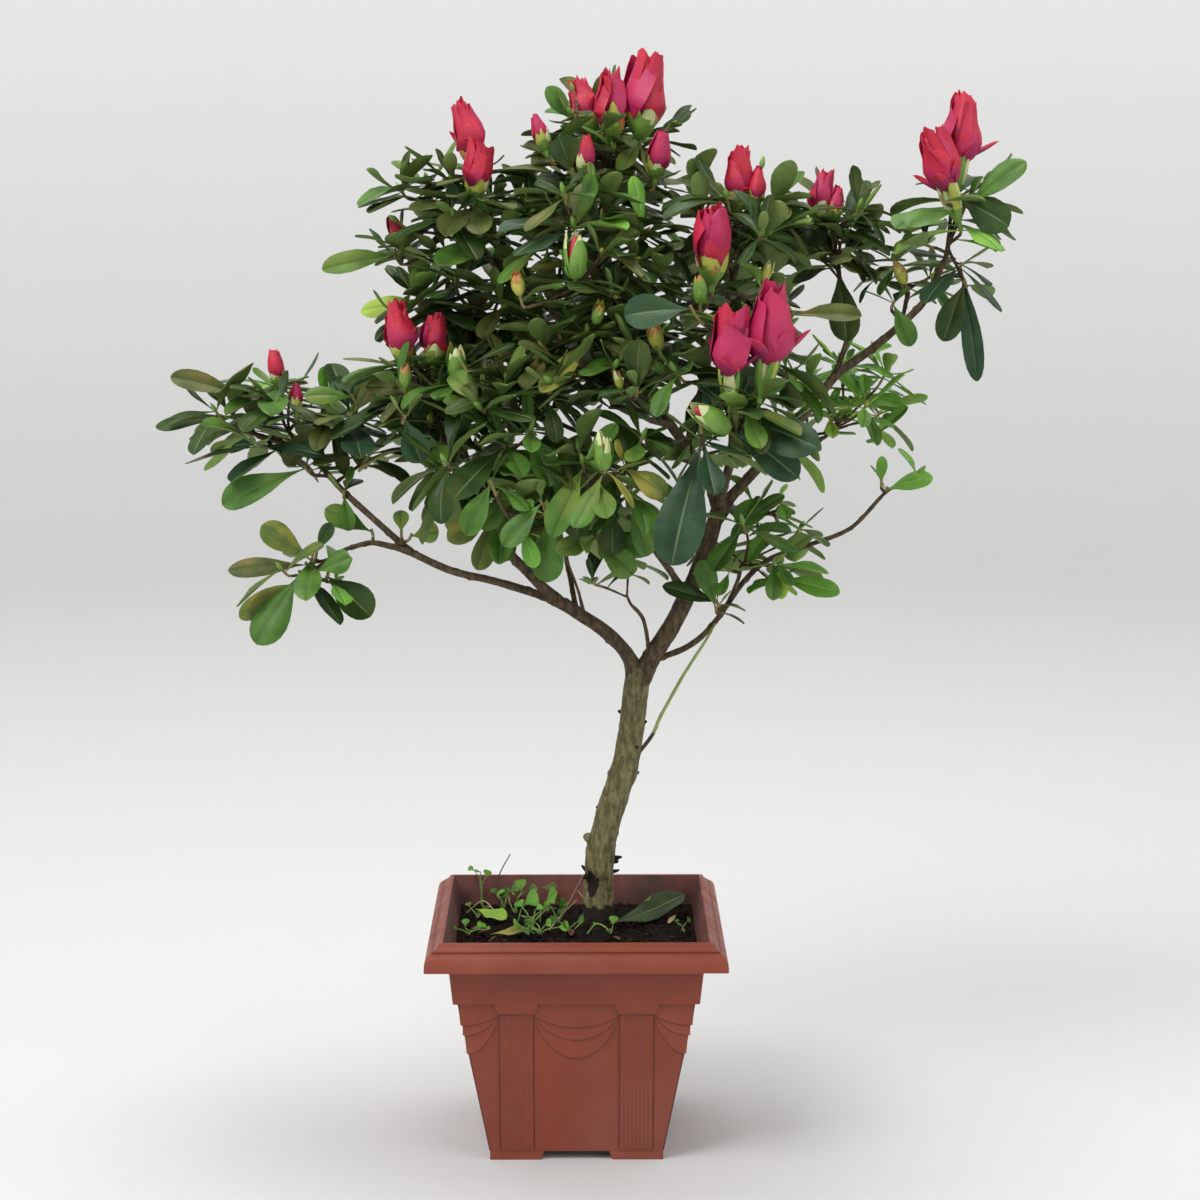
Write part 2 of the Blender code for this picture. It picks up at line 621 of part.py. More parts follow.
def make_pot():
    plastic = plain_material("pot", POT_BROWN, 0.45)
    pieces = [(*square_shell(pot_profile()), 0)]
    pieces += [(*foot, 0) for foot in foot_pieces()]
    for turn in range(4):
        angle = turn * math.pi / 2
        for centre in (-PILASTER_CENTRE, PILASTER_CENTRE):
            pieces.append((*relief(pilaster_outline(centre), angle, PILASTER_PROUD), 0))
            pieces.append((*relief(capital_outline(centre), angle, CAPITAL_PROUD), 0))
        for bottom, proud in zip(SWAG_BOTTOMS, SWAG_PROUD):
            for outline in swag_outlines(bottom):
                pieces.append((*relief(outline, angle, proud), 0))
    return fuse("pot", pieces, [plastic])


def make_soil():
    """A block of soil that fills the pot, with an uneven top that is level under the trunk."""
    rng = random.Random("soil")
    cells = 8
    count = cells + 1
    top_half = inner_half(SOIL_TOP) - GAP
    foot = Vector(TRUNK_ROUTE[0]).to_2d()
    vertices = []
    for row in range(count):
        for column in range(count):
            x = top_half * (2 * column / cells - 1)
            y = top_half * (2 * row / cells - 1)
            level = (Vector((x, y)) - foot).length < 0.022
            at_edge = row in (0, cells) or column in (0, cells)
            rise = 0.0 if level or at_edge else rng.uniform(-0.0016, 0.0012)
            vertices.append((x, y, SOIL_TOP + rise))
    faces = []
    for row in range(cells):
        for column in range(cells):
            a = row * count + column
            faces.append((a, a + 1, a + count + 1, a + count))
    edge = list(range(count))
    edge += [row * count + cells for row in range(1, count)]
    edge += [cells * count + column for column in reversed(range(cells))]
    edge += [row * count for row in reversed(range(1, cells))]
    ring = edge
    for level in (COLLAR_BOTTOM, FOOT_HEIGHT + WALL + GAP):
        half = inner_half(level) - GAP
        start = len(vertices)
        for index in edge:
            x, y, _ = vertices[index]
            vertices.append((x * half / top_half, y * half / top_half, level))
        for k in range(len(edge)):
            after = (k + 1) % len(edge)
            faces.append((ring[k], start + k, start + after, ring[after]))
        ring = [start + k for k in range(len(edge))]
    faces.append(tuple(reversed(ring)))
    return make_object("soil", vertices, faces, [plain_material("soil", SOIL_BLACK, 0.95)])


def trunk_wave(z, angle):
    """How far the bark stands out: the roots' flare at the soil, and old scars."""
    height = z - SOIL_TOP
    out = FLARE * math.exp(-height / FLARE_HEIGHT) * (0.75 + 0.25 * math.cos(3 * angle + 1))
    for scar_z, scar_angle, size in SCARS:
        turn = math.cos(angle - scar_angle)
        out += size * math.exp(-(((z - scar_z) / SCAR_HEIGHT) ** 2)) * max(turn, 0.0) ** 2
    return out


def trunk_radii(points):
    return taper(points, TRUNK_RADIUS, FORK_RADIUS)


def limb_chain(limb, chains):
    """The middle line of a limb, from inside its parent to its tip."""
    start = along(chains[limb.parent], limb.share)
    return smooth([start, *limb.route], 2 if len(limb.route) < 4 else 1)


def make_limbs():
    """The trunk and boughs: their objects, middle lines, and each one's shape grown by the gap."""
    chains = {"trunk": smooth(TRUNK_ROUTE, 3)}
    trunk = chains["trunk"]
    radii = {"trunk": trunk_radii(trunk)}
    sides = {"trunk": 12}
    vertices, faces = tube(trunk, radii["trunk"], sides["trunk"], wave=trunk_wave)
    flat = trunk[0].z
    vertices = [Vector((v.x, v.y, flat)) if i < sides["trunk"] else v for i, v in enumerate(vertices)]
    made = {"trunk": make_object("trunk", vertices, faces, [plain_material("trunk", BARK, 0.85)])}

    for limb in LIMBS:
        chain = limb_chain(limb, chains)
        chains[limb.name] = chain
        radii[limb.name] = taper(chain, limb.foot_radius, limb.tip_radius)
        sides[limb.name] = 8 if limb.foot_radius > 0.003 else 5
        shape = tube(chain, radii[limb.name], sides[limb.name])
        colour = GREEN_BARK if limb.name == "green_sucker" else BARK
        bough = make_object(limb.name, *shape, [plain_material(limb.name, colour, 0.8)])
        for near in (limb.parent, *limb.clear_of):
            wave = trunk_wave if near == "trunk" else None
            grown = tube(chains[near], radii[near], sides[near], GAP, wave)
            cut(bough, make_object("cutter", *grown, bough.data.materials))
        keep_largest_shell(bough)
        made[limb.name] = bough
    return made, chains


def shape_tree(vertices, faces):
    return BVHTree.FromPolygons([tuple(v) for v in vertices], faces)


class Space:
    """What already stands in the tree's space: trees of faces, each with its owner and a ball round it."""

    def __init__(self):
        self.held = []

    def add(self, owner, vertices, faces):
        vertices = [Vector(v) for v in vertices]
        centre = sum(vertices, Vector()) / len(vertices)
        radius = max((v - centre).length for v in vertices)
        self.held.append((owner, centre, radius, shape_tree(vertices, faces)))

    def is_free(self, owner, vertices, faces):
        """Whether a shape misses all that other owners hold."""
        centre = sum(vertices, Vector()) / len(vertices)
        radius = max((v - centre).length for v in vertices)
        own = None
        for other, other_centre, other_radius, tree in self.held:
            if other == owner or (centre - other_centre).length > radius + other_radius:
                continue
            own = own or shape_tree(vertices, faces)
            if own.overlap(tree):
                return False
        return True


def inside(mass, point):
    """Whether a point lies in the mass's egg-shaped space."""
    away = [(point[k] - mass.centre[k]) / mass.reach[k] for k in range(3)]
    return sum(a * a for a in away) <= 1


def shell_direction(index, count, rng):
    """Directions spread evenly over a ball, fewer of them downwards."""
    height = 1 - (2 * index + 1) / count
    height = LEAST_HEIGHT + height * (UPPER_SPREAD if height > 0 else LOWER_SPREAD)
    turn = index * GOLDEN + rng.uniform(-LOOSE_TURN, LOOSE_TURN)
    flat = math.sqrt(max(1 - height**2, 0.0))
    return Vector((flat * math.cos(turn), flat * math.sin(turn), height))


def mass_shoots(mass):
    """The shoots of a mass: those that carry its flowers, then those spread by the rule."""
    rng = random.Random(mass.name)
    centre = Vector(mass.centre)
    shoots = []
    for flower in FLOWERS:
        if flower.mass == mass.name:
            axis = Vector((*flower.lean, 1.0)).normalized()
            base = Vector(flower.centre) - axis * flower.height / 2
            shoots.append(Shoot(base - axis * (2 * BUD_LENGTH - FLOWER_SINK), axis, FLOWER_SHOOT, None))
    for leaf in LONG_LEAVES:
        if leaf.mass == mass.name:
            root = Vector(leaf.root)
            aim = Vector(leaf.tip)
            axis = ((aim - root).normalized() * LONG_LEAF_LEAN + UP).normalized()
            shoots.append(Shoot(root - axis * BUD_LENGTH, axis, LONG_LEAF_SHOOT, aim))
    first_turn = rng.uniform(0, 2 * math.pi)
    for index in range(mass.shoots):
        direction = shell_direction(index, mass.shoots, rng)
        direction.rotate(Matrix.Rotation(first_turn, 3, "Z"))
        room = [max(reach - ROOM_LEFT * mass.leaf, LEAST_ROOM * reach) for reach in mass.reach]
        tip = centre + Vector([direction[k] * room[k] for k in range(3)])
        axis = (direction * SHOOT_SPREAD + UP * SHOOT_RISE).normalized()
        shoots.append(Shoot(tip, axis, 1.0, None))
    return shoots


def twig_route(start, heading, tip, axis, bow):
    """A twig's middle line: it leaves along its heading and arrives along its shoot's axis."""
    reach = (tip - start).length
    first = start + (heading * TWIG_SWEEP + across(heading) * bow) * reach
    last = tip - axis * reach * TWIG_SWEEP
    points = []
    spans = 3 if reach > LONG_TWIG else 2
    for i in range(spans + 1):
        back = (1 - i / spans) ** TIP_CROWDING
        t = 1 - back
        points.append(start * back**3 + 3 * first * t * back**2 + 3 * last * t**2 * back + tip * t**3)
    return points


def bud_face(vertices, number):
    """One of a shoot's six bud faces: the indices of its two corners that lie level, then of the third."""
    lower = len(vertices) - 7
    upper = len(vertices) - 4
    k = number % 3
    after = (k + 1) % 3
    if number < 3:
        return lower + k, lower + after, upper + k
    return upper + after, upper + k, lower + after


def shoot_shape(route, radii, axis):
    """A three-sided twig that ends in a slim bud, whose six side faces the leaves grow from."""
    vertices, faces = tube(route, radii, 3)
    faces.pop()
    centre = route[-1]
    corners = [across(axis, vertex - centre) for vertex in vertices[-3:]]
    vertices[-3:] = [centre + corner * BUD_RADIUS for corner in corners]
    for k in range(3):
        outward = (corners[k] + corners[(k + 1) % 3]).normalized()
        vertices.append(centre + axis * BUD_LENGTH + outward * BUD_RADIUS)
    vertices.append(centre + axis * BUD_LENGTH * 2)
    for number in range(6):
        faces.append(bud_face(vertices, number))
    top = len(vertices) - 1
    for k in range(3):
        faces.append((top - 3 + k, top - 3 + (k + 1) % 3, top))
    return vertices, faces


def leaf_corners(corners, direction, upper, length, extra=0.0):
    """A leaf's widest section, one point for each corner of its root, and its tip."""
    root = sum(corners, Vector()) / 3
    side = upper.cross(direction).normalized()
    upper = direction.cross(side)
    half = length * LEAF_ROUND / 2 + extra
    middle = root + direction * length * LEAF_WIDEST + upper * length * LEAF_CUP
    third_up = (corners[2] - root).dot(upper) > 0
    thick = (LEAF_THICK + extra) * (1 if third_up else -1)
    order = 1 if (corners[0] - corners[1]).dot(side) > 0 else -1
    section = [
        middle + side * half * order - upper * thick * LEAF_UNDER,
        middle - side * half * order - upper * thick * LEAF_UNDER,
        middle + upper * thick,
    ]
    tip = root + direction * (length + extra) - upper * length * TIP_FALL
    return section, tip


def leaf_guard(corners, direction, upper, length):
    """The leaf as a closed shape of its own, a little larger all round."""
    section, tip = leaf_corners(corners, direction, upper, length, ROOM)
    vertices = [*corners, *section, tip]
    faces = [(0, 1, 2), *leaf_faces((0, 1, 2), 3)]
    return vertices, faces


def leaf_faces(root, first):
    """The faces of a leaf from its root's three corners, its section and tip being numbered from first."""
    faces = []
    for k in range(3):
        after = (k + 1) % 3
        faces.append((root[k], root[after], first + after))
        faces.append((root[k], first + after, first + k))
        faces.append((first + k, first + after, first + 3))
    return faces


def leaf_pose(shoot, corners, number, droop):
    """Which way a leaf and its upper side point: the lower three stand out, the upper three stand up."""
    root = sum(corners, Vector()) / 3
    outward = root - shoot.tip
    outward = (outward - shoot.axis * outward.dot(shoot.axis)).normalized()
    tilt = math.radians(LOWER_TILT if number < 3 else UPPER_TILT)
    direction = shoot.axis * math.cos(tilt) + outward * math.sin(tilt)
    direction -= UP * droop * (1 if number < 3 else UPPER_DROOP)
    upper = shoot.axis * math.sin(tilt) - outward * math.cos(tilt)
    upper += UP * FACE_UP + outward * droop * FACE_OUT
    return direction.normalized(), upper.normalized()


def aimed_face(shoot, vertices):
    """The number of the bud face that looks most nearly towards the tip of a shoot's long leaf."""
    if shoot.aim is None:
        return None
    way = (shoot.aim - shoot.tip).normalized()
    middles = [sum([vertices[k] for k in bud_face(vertices, n)], Vector()) / 3 for n in range(6)]
    return max(range(6), key=lambda n: (middles[n] - shoot.tip).normalized().dot(way))


def flower_shape(flower):
    """A half-open flower as a faceted egg with a flat top."""
    axis = Vector((*flower.lean, 1.0)).normalized()
    side = across(axis)
    third = axis.cross(side)
    base = Vector(flower.centre) - axis * flower.height / 2
    sides = FLOWER_SIDES
    vertices = []
    for share, width in FLOWER_PROFILE:
        for k in range(sides):
            angle = 2 * math.pi * k / sides
            radius = flower.height * FLOWER_ROUND * width
            outward = side * math.cos(angle) + third * math.sin(angle)
            vertices.append(base + axis * flower.height * share + outward * radius)
    faces = [tuple(reversed(range(sides)))]
    for i in range(len(FLOWER_PROFILE) - 1):
        for k in range(sides):
            a = i * sides + k
            b = i * sides + (k + 1) % sides
            faces.append((a, b, b + sides, a + sides))
    faces.append(tuple(range(len(vertices) - sides, len(vertices))))
    return vertices, faces


def grow_stems(mass, chain, tip_radius, space):
    """The stem of a mass, as a shape, and for each shoot that finds room its twig's shape."""
    heading = (chain[-1] - chain[-2]).normalized()
    foot = chain[-1] + heading * GAP
    to_centre = Vector(mass.centre) - foot
    bend = foot + heading * to_centre.length * STEM_BEND
    heart = bend + to_centre * STEM_END
    stem = tube([foot, bend, heart], [tip_radius * share for share in STEM_TAPER], STEM_SIDES)
    onward = (heart - bend).normalized()
    twigs = []
    for shoot in mass_shoots(mass):
        for bow in TWIG_BOWS:
            start = heart - onward * TWIG_STEP * (len(twigs) + 1)
            route = twig_route(start, onward, shoot.tip, shoot.axis, bow)
            radii = taper(route, tip_radius * TWIG_SHARE, TWIG_RADIUS)
            bud_end = shoot.tip + shoot.axis * 2 * BUD_LENGTH
            if space.is_free(mass.name, *tube([*route, bud_end], [*radii, BUD_RADIUS], 3, ROOM)):
                twigs.append((shoot, *shoot_shape(route, radii, shoot.axis)))
                break
    return stem, twigs


def grow_leaves(mass, twigs, space):
    """Grows leaves from each twig's bud, but none that would leave the mass's space or touch another."""
    rng = random.Random(mass.name + " leaves")
    for index, (shoot, vertices, faces) in enumerate(twigs):
        own = mass.name + str(index)
        twig = list(vertices)
        aimed = aimed_face(shoot, twig)
        for number in sorted(range(6), key=lambda n: n != aimed):
            face = bud_face(twig, number)
            corners = [twig[k] for k in face]
            length = mass.leaf * shoot.leaf_size * rng.uniform(*LEAF_SIZES)
            direction, upper = leaf_pose(shoot, corners, number, mass.droop)
            if number == aimed:
                root = sum(corners, Vector()) / 3
                length = (shoot.aim - root).length
                direction = (shoot.aim - root).normalized()
            for share, lift, turn in LEAF_TRIES:
                way = Matrix.Rotation(math.radians(turn), 3, shoot.axis) @ direction
                way = (way + UP * lift).normalized()
                guard = leaf_guard(corners, way, upper, length * share)
                if (number == aimed or inside(mass, guard[0][-1])) and space.is_free(own, *guard):
                    section, tip = leaf_corners(corners, way, upper, length * share)
                    faces.remove(face)
                    faces += leaf_faces(face, len(vertices))
                    vertices += [*section, tip]
                    space.add(own, [*corners, *section, tip], guard[1])
                    break


def make_masses(limbs, chains):
    """The masses of leaves: all twigs and flowers first, then the leaves between them."""
    space = Space()
    for name, limb in limbs.items():
        mesh = limb.data
        space.add(name, [v.co for v in mesh.vertices], [tuple(p.vertices) for p in mesh.polygons])
    tips = {limb.name: limb.tip_radius for limb in LIMBS}
    grown = {}
    for mass in MASSES:
        stem, twigs = grow_stems(mass, chains[mass.bough], tips[mass.bough], space)
        grown[mass.name] = stem, twigs
        for index, (shoot, vertices, faces) in enumerate(twigs):
            space.add(mass.name + str(index), vertices, faces)
        for flower in FLOWERS:
            if flower.mass == mass.name:
                space.add(mass.name, *flower_shape(flower))
    for mass in MASSES:
        stem, twigs = grown[mass.name]
        grow_leaves(mass, twigs, space)
        node = "leaves_" + mass.name
        materials = [
            plain_material(node, LEAF_GREEN, 0.4),
            plain_material(node + "_stem", BARK, 0.8),
            plain_material(node + "_flowers", PETAL_RED, 0.5),
        ]
        pieces = [(*stem, 1)]
        pieces += [(vertices, faces, 0) for shoot, vertices, faces in twigs]
        pieces += [(*flower_shape(f), 2) for f in FLOWERS if f.mass == mass.name]
        place_origin(fuse(node, pieces, materials), chains[mass.bough][-1])


def main():
    remove(bpy.data.objects)
    make_pot()
    make_soil()
    limbs, chains = make_limbs()
    make_masses(limbs, chains)
    for name, limb in limbs.items():
        place_origin(limb, chains[name][0])
    stand = bpy.data.objects.new("azalea_bonsai", None)
    bpy.context.scene.collection.objects.link(stand)
    for thing in list(bpy.context.scene.objects):
        if thing is not stand:
            thing.parent = stand


main()
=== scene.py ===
"""The looks of an azalea grown as a small bonsai tree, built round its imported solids.

Every limb, twig and leaf grows on from the same named sizes and by the same seeded rule as the
solids, carried to more shoots and finer leaves within the same reach. Lengths are in metres, +Z is
up, the viewer's side is -Y, and the origin is the middle of the pot on the surface it stands on.
"""

import json
import math
import random
from collections import namedtuple

import bpy
import numpy as np
from mathutils import Matrix, Vector, noise
from mathutils.bvhtree import BVHTree

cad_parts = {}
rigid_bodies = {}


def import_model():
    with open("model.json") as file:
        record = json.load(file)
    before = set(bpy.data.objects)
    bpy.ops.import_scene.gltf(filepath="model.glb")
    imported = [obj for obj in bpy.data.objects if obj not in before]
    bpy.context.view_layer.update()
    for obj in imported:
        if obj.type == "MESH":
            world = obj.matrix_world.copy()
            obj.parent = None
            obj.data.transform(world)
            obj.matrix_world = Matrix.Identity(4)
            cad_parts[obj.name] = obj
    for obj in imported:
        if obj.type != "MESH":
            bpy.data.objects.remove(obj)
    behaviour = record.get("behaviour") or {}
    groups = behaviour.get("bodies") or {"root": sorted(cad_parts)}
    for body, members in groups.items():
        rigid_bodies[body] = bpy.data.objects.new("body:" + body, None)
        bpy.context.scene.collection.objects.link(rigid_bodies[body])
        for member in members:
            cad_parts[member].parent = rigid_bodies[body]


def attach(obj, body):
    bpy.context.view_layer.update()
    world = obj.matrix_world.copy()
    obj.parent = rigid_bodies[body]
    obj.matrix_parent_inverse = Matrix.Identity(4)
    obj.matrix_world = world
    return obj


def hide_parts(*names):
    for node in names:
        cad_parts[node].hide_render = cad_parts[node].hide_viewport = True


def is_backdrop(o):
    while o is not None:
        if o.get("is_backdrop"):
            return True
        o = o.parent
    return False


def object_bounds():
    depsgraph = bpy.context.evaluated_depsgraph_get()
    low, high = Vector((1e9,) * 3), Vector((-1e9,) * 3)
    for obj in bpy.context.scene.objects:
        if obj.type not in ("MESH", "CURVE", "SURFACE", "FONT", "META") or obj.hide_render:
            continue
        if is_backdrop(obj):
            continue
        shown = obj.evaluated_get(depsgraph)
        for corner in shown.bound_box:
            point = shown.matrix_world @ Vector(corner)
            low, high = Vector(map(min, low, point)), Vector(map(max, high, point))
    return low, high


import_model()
CAD_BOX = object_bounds()

Limb = namedtuple("Limb", "name parent share foot_radius tip_radius route")
Mass = namedtuple("Mass", "name centre reach shoots leaf droop fill look")
Flower = namedtuple("Flower", "mass centre height lean")
LongLeaf = namedtuple("LongLeaf", "mass root tip look round")
Extra = namedtuple("Extra", "mass kind base height lean")
Cluster = namedtuple("Cluster", "foot count spread height size tone")
Shoot = namedtuple("Shoot", "tip axis leaf_size aim kind look round")
Twig = namedtuple("Twig", "shoot route radii side")
Blade = namedtuple("Blade", "root direction upper length round shift curl fold cup wave twist")
Style = namedtuple("Style", "lift face outer beside inner stem tilt curl width")
Plan = namedtuple("Plan", "owner mass shoot part blade kind")


def mm(*lengths):
    """Lengths or points given in millimetres, in metres."""
    return tuple(mm(*length) if isinstance(length, tuple) else length / 1000 for length in lengths)


def leaf_rows(table):
    """Leaves from each mass's rows of root and tip in millimetres, look and width."""
    return [
        LongLeaf(mass, mm(*root), mm(*tip), look, wide)
        for mass, rows in table.items() for root, tip, look, wide in rows
    ]


UP = Vector((0, 0, 1))
GAP = 0.0003
ROOM = 0.0005
GOLDEN = math.radians(137.5)

CAMERA_PLACE = (0.002, -1.643, 0.585)
CAMERA_TURN = (80.76, 0.0, -0.41)
CAMERA_LENS = 87.0
SENSOR = 36.0

RIM_HALF = 0.085
RIM_BOTTOM = 0.121
POT_HEIGHT = 0.136
LIP_HALF = 0.0763
LIP_WIDTH = 0.0019
WALL = 0.0022
FOOT_HEIGHT = 0.0055
FOOT_HALF = 0.0497
FOOT_WIDTH = 0.008
ARCH_HALF = 0.0185
ARCH_SPLAY = 0.002
COLLAR_BOTTOM = 0.0985
COLLAR_HALF = 0.0696
COLLAR_TOP = 0.1235
WALL_SLOPE = 0.1835
SOIL_TOP = 0.119

PILASTER_CENTRE = 0.034
PILASTER_HALF = 0.0094
PILASTER_TOP = 0.0925
PILASTER_PROUD = 0.0008
FLUTES = 7
FLUTE_DEPTH = 0.00035
CAPITAL_HALF = 0.0124
NECK = 0.0915
SWAG_ENDS = 0.0926
SWAG_BOTTOMS = (0.0837, 0.0760, 0.0645)
CORNER_BOTTOMS = (0.0851, 0.0789, 0.0674)
SWAG_PROUD = 0.0009
SWAG_STEP = 0.0002
GROOVE_LINE = 0.0005
# Places on the pot: the plastic; a darker plastic that paints the shade in the grooves and on the relief's
# edges; and a third that paints shade, in the flutes and all over the inside of the shell.
PLASTIC = 0
GROOVE_SHADE = 1
SHADE = INSIDE_SHADE = 2

TRUNK_ROUTE = (
    (0.012, 0.017, SOIL_TOP + GAP),
    *mm(
        (13, 17, 142), (14, 16, 160), (17, 15, 179), (24, 14, 203),
        (30, 13, 225), (34, 10, 257), (36, 8, 274),
    ),
)
TRUNK_RADIUS = 0.0087
FORK_RADIUS = 0.0070
FLARE = 0.0022
FLARE_HEIGHT = 0.012
SCARS = ((0.142, 2.7, 0.0016), (0.157, 5.6, 0.0020), (0.166, 3.6, 0.0014), (0.215, 1.2, 0.0007))
SCAR_HEIGHT = 0.006
HOLLOW_Z = 0.1465
HOLLOW_HEIGHT = 0.0085
HOLLOW_ANGLE = 5.35
HOLLOW_TURN = 0.6
HOLLOW_DEEP = 0.0030
STUBS = (
    (0.1615, 1.50, 0.0042, 0.0014, 0.2), (0.1600, 1.62, 0.0024, 0.0018, -0.6),
    (0.1532, 1.50, 0.0034, 0.0011, 0.3), (0.1545, 4.90, 0.0036, 0.0012, 1.4),
    (0.1510, 5.10, 0.0022, 0.0016, -0.4), (0.1735, 4.72, 0.0036, 0.0030, 0.6),
    (0.2130, 1.50, 0.0020, 0.0013, 0.4), (0.2500, 4.70, 0.0017, 0.0012, 0.4),
    (0.2440, 1.60, 0.0012, 0.0011, 0.2), (0.1920, 4.60, 0.0012, 0.0012, 0.3),
    (0.2300, 0.60, 0.0010, 0.0012, 0.3),
)
# The trunk's barks: plain; dark, which is the moist bark's own colour near the soil and painted shade in the
# old hollow; and the boughs' bark.
TRUNK_BARK = 0
DARK_BARK = 1
BOUGH_BARK = 2

LEAF = 0.049
SMALL_LEAF = 0.033
TINY_LEAF = 0.024
LOWER_TILT = 92
UPPER_DROOP = 0.3
FACE_OUT = 0.6
LEAF_TRIES = (
    (1.0, 0.0, 0), (0.94, 0.25, 14), (0.94, -0.3, -14), (0.86, 0.1, -24), (0.86, 0.5, 20),
    (0.74, -0.5, 10), (0.74, 0.3, -8), (0.62, 0.8, 0), (0.62, -0.8, 0),
)
LEAF_SIZES = (0.88, 1.08)
LOOSE_TURN = 0.35
LEAST_HEIGHT = 0.25
UPPER_SPREAD = 0.75
LOWER_SPREAD = 0.85
SHOOT_SPREAD = 0.75
SHOOT_RISE = 0.6
FLOWER_SHOOT = 0.85
LONG_LEAF_SHOOT = 0.8
LONG_LEAF_LEAN = 0.5
EXTRA_SHOOT = 0.72
SINGLE_SHOOT = 0.55
FILL_SHOOT = 0.7
STEM_BEND = 0.15
STEM_END = 0.35
STEM_TAPER = (0.9, 0.85, 0.75)
STEM_INTO = 0.002
TWIG_SHARE = 0.6
TWIG_RADIUS = 0.0010
TWIG_STEP = 0.0009
TWIG_SWEEP = 0.35
TIP_CROWDING = 1.6
LONG_TWIG = 0.028
TWIG_BOWS = (0.0, 0.25, -0.25, 0.5, -0.5, 0.8, -0.8)
BUD_RADIUS = 0.0022
BUD_LENGTH = 0.004
LONG_STALK = 0.012
STALKS_OF = {"right_tip": 0.022, "front_right": 0.019}
STALK = 0.0095
SMALL_STALK = 0.0075
ROOM_LEFT = 0.62
LEAST_ROOM = 0.25
FLOWER_ROUND = 0.27
SMALL_FLOWER = 0.026
CUP_ROUND = 1.08
CUP_COVER = (0.22, 0.46)
FAN_COVER = (0.06, 0.2)

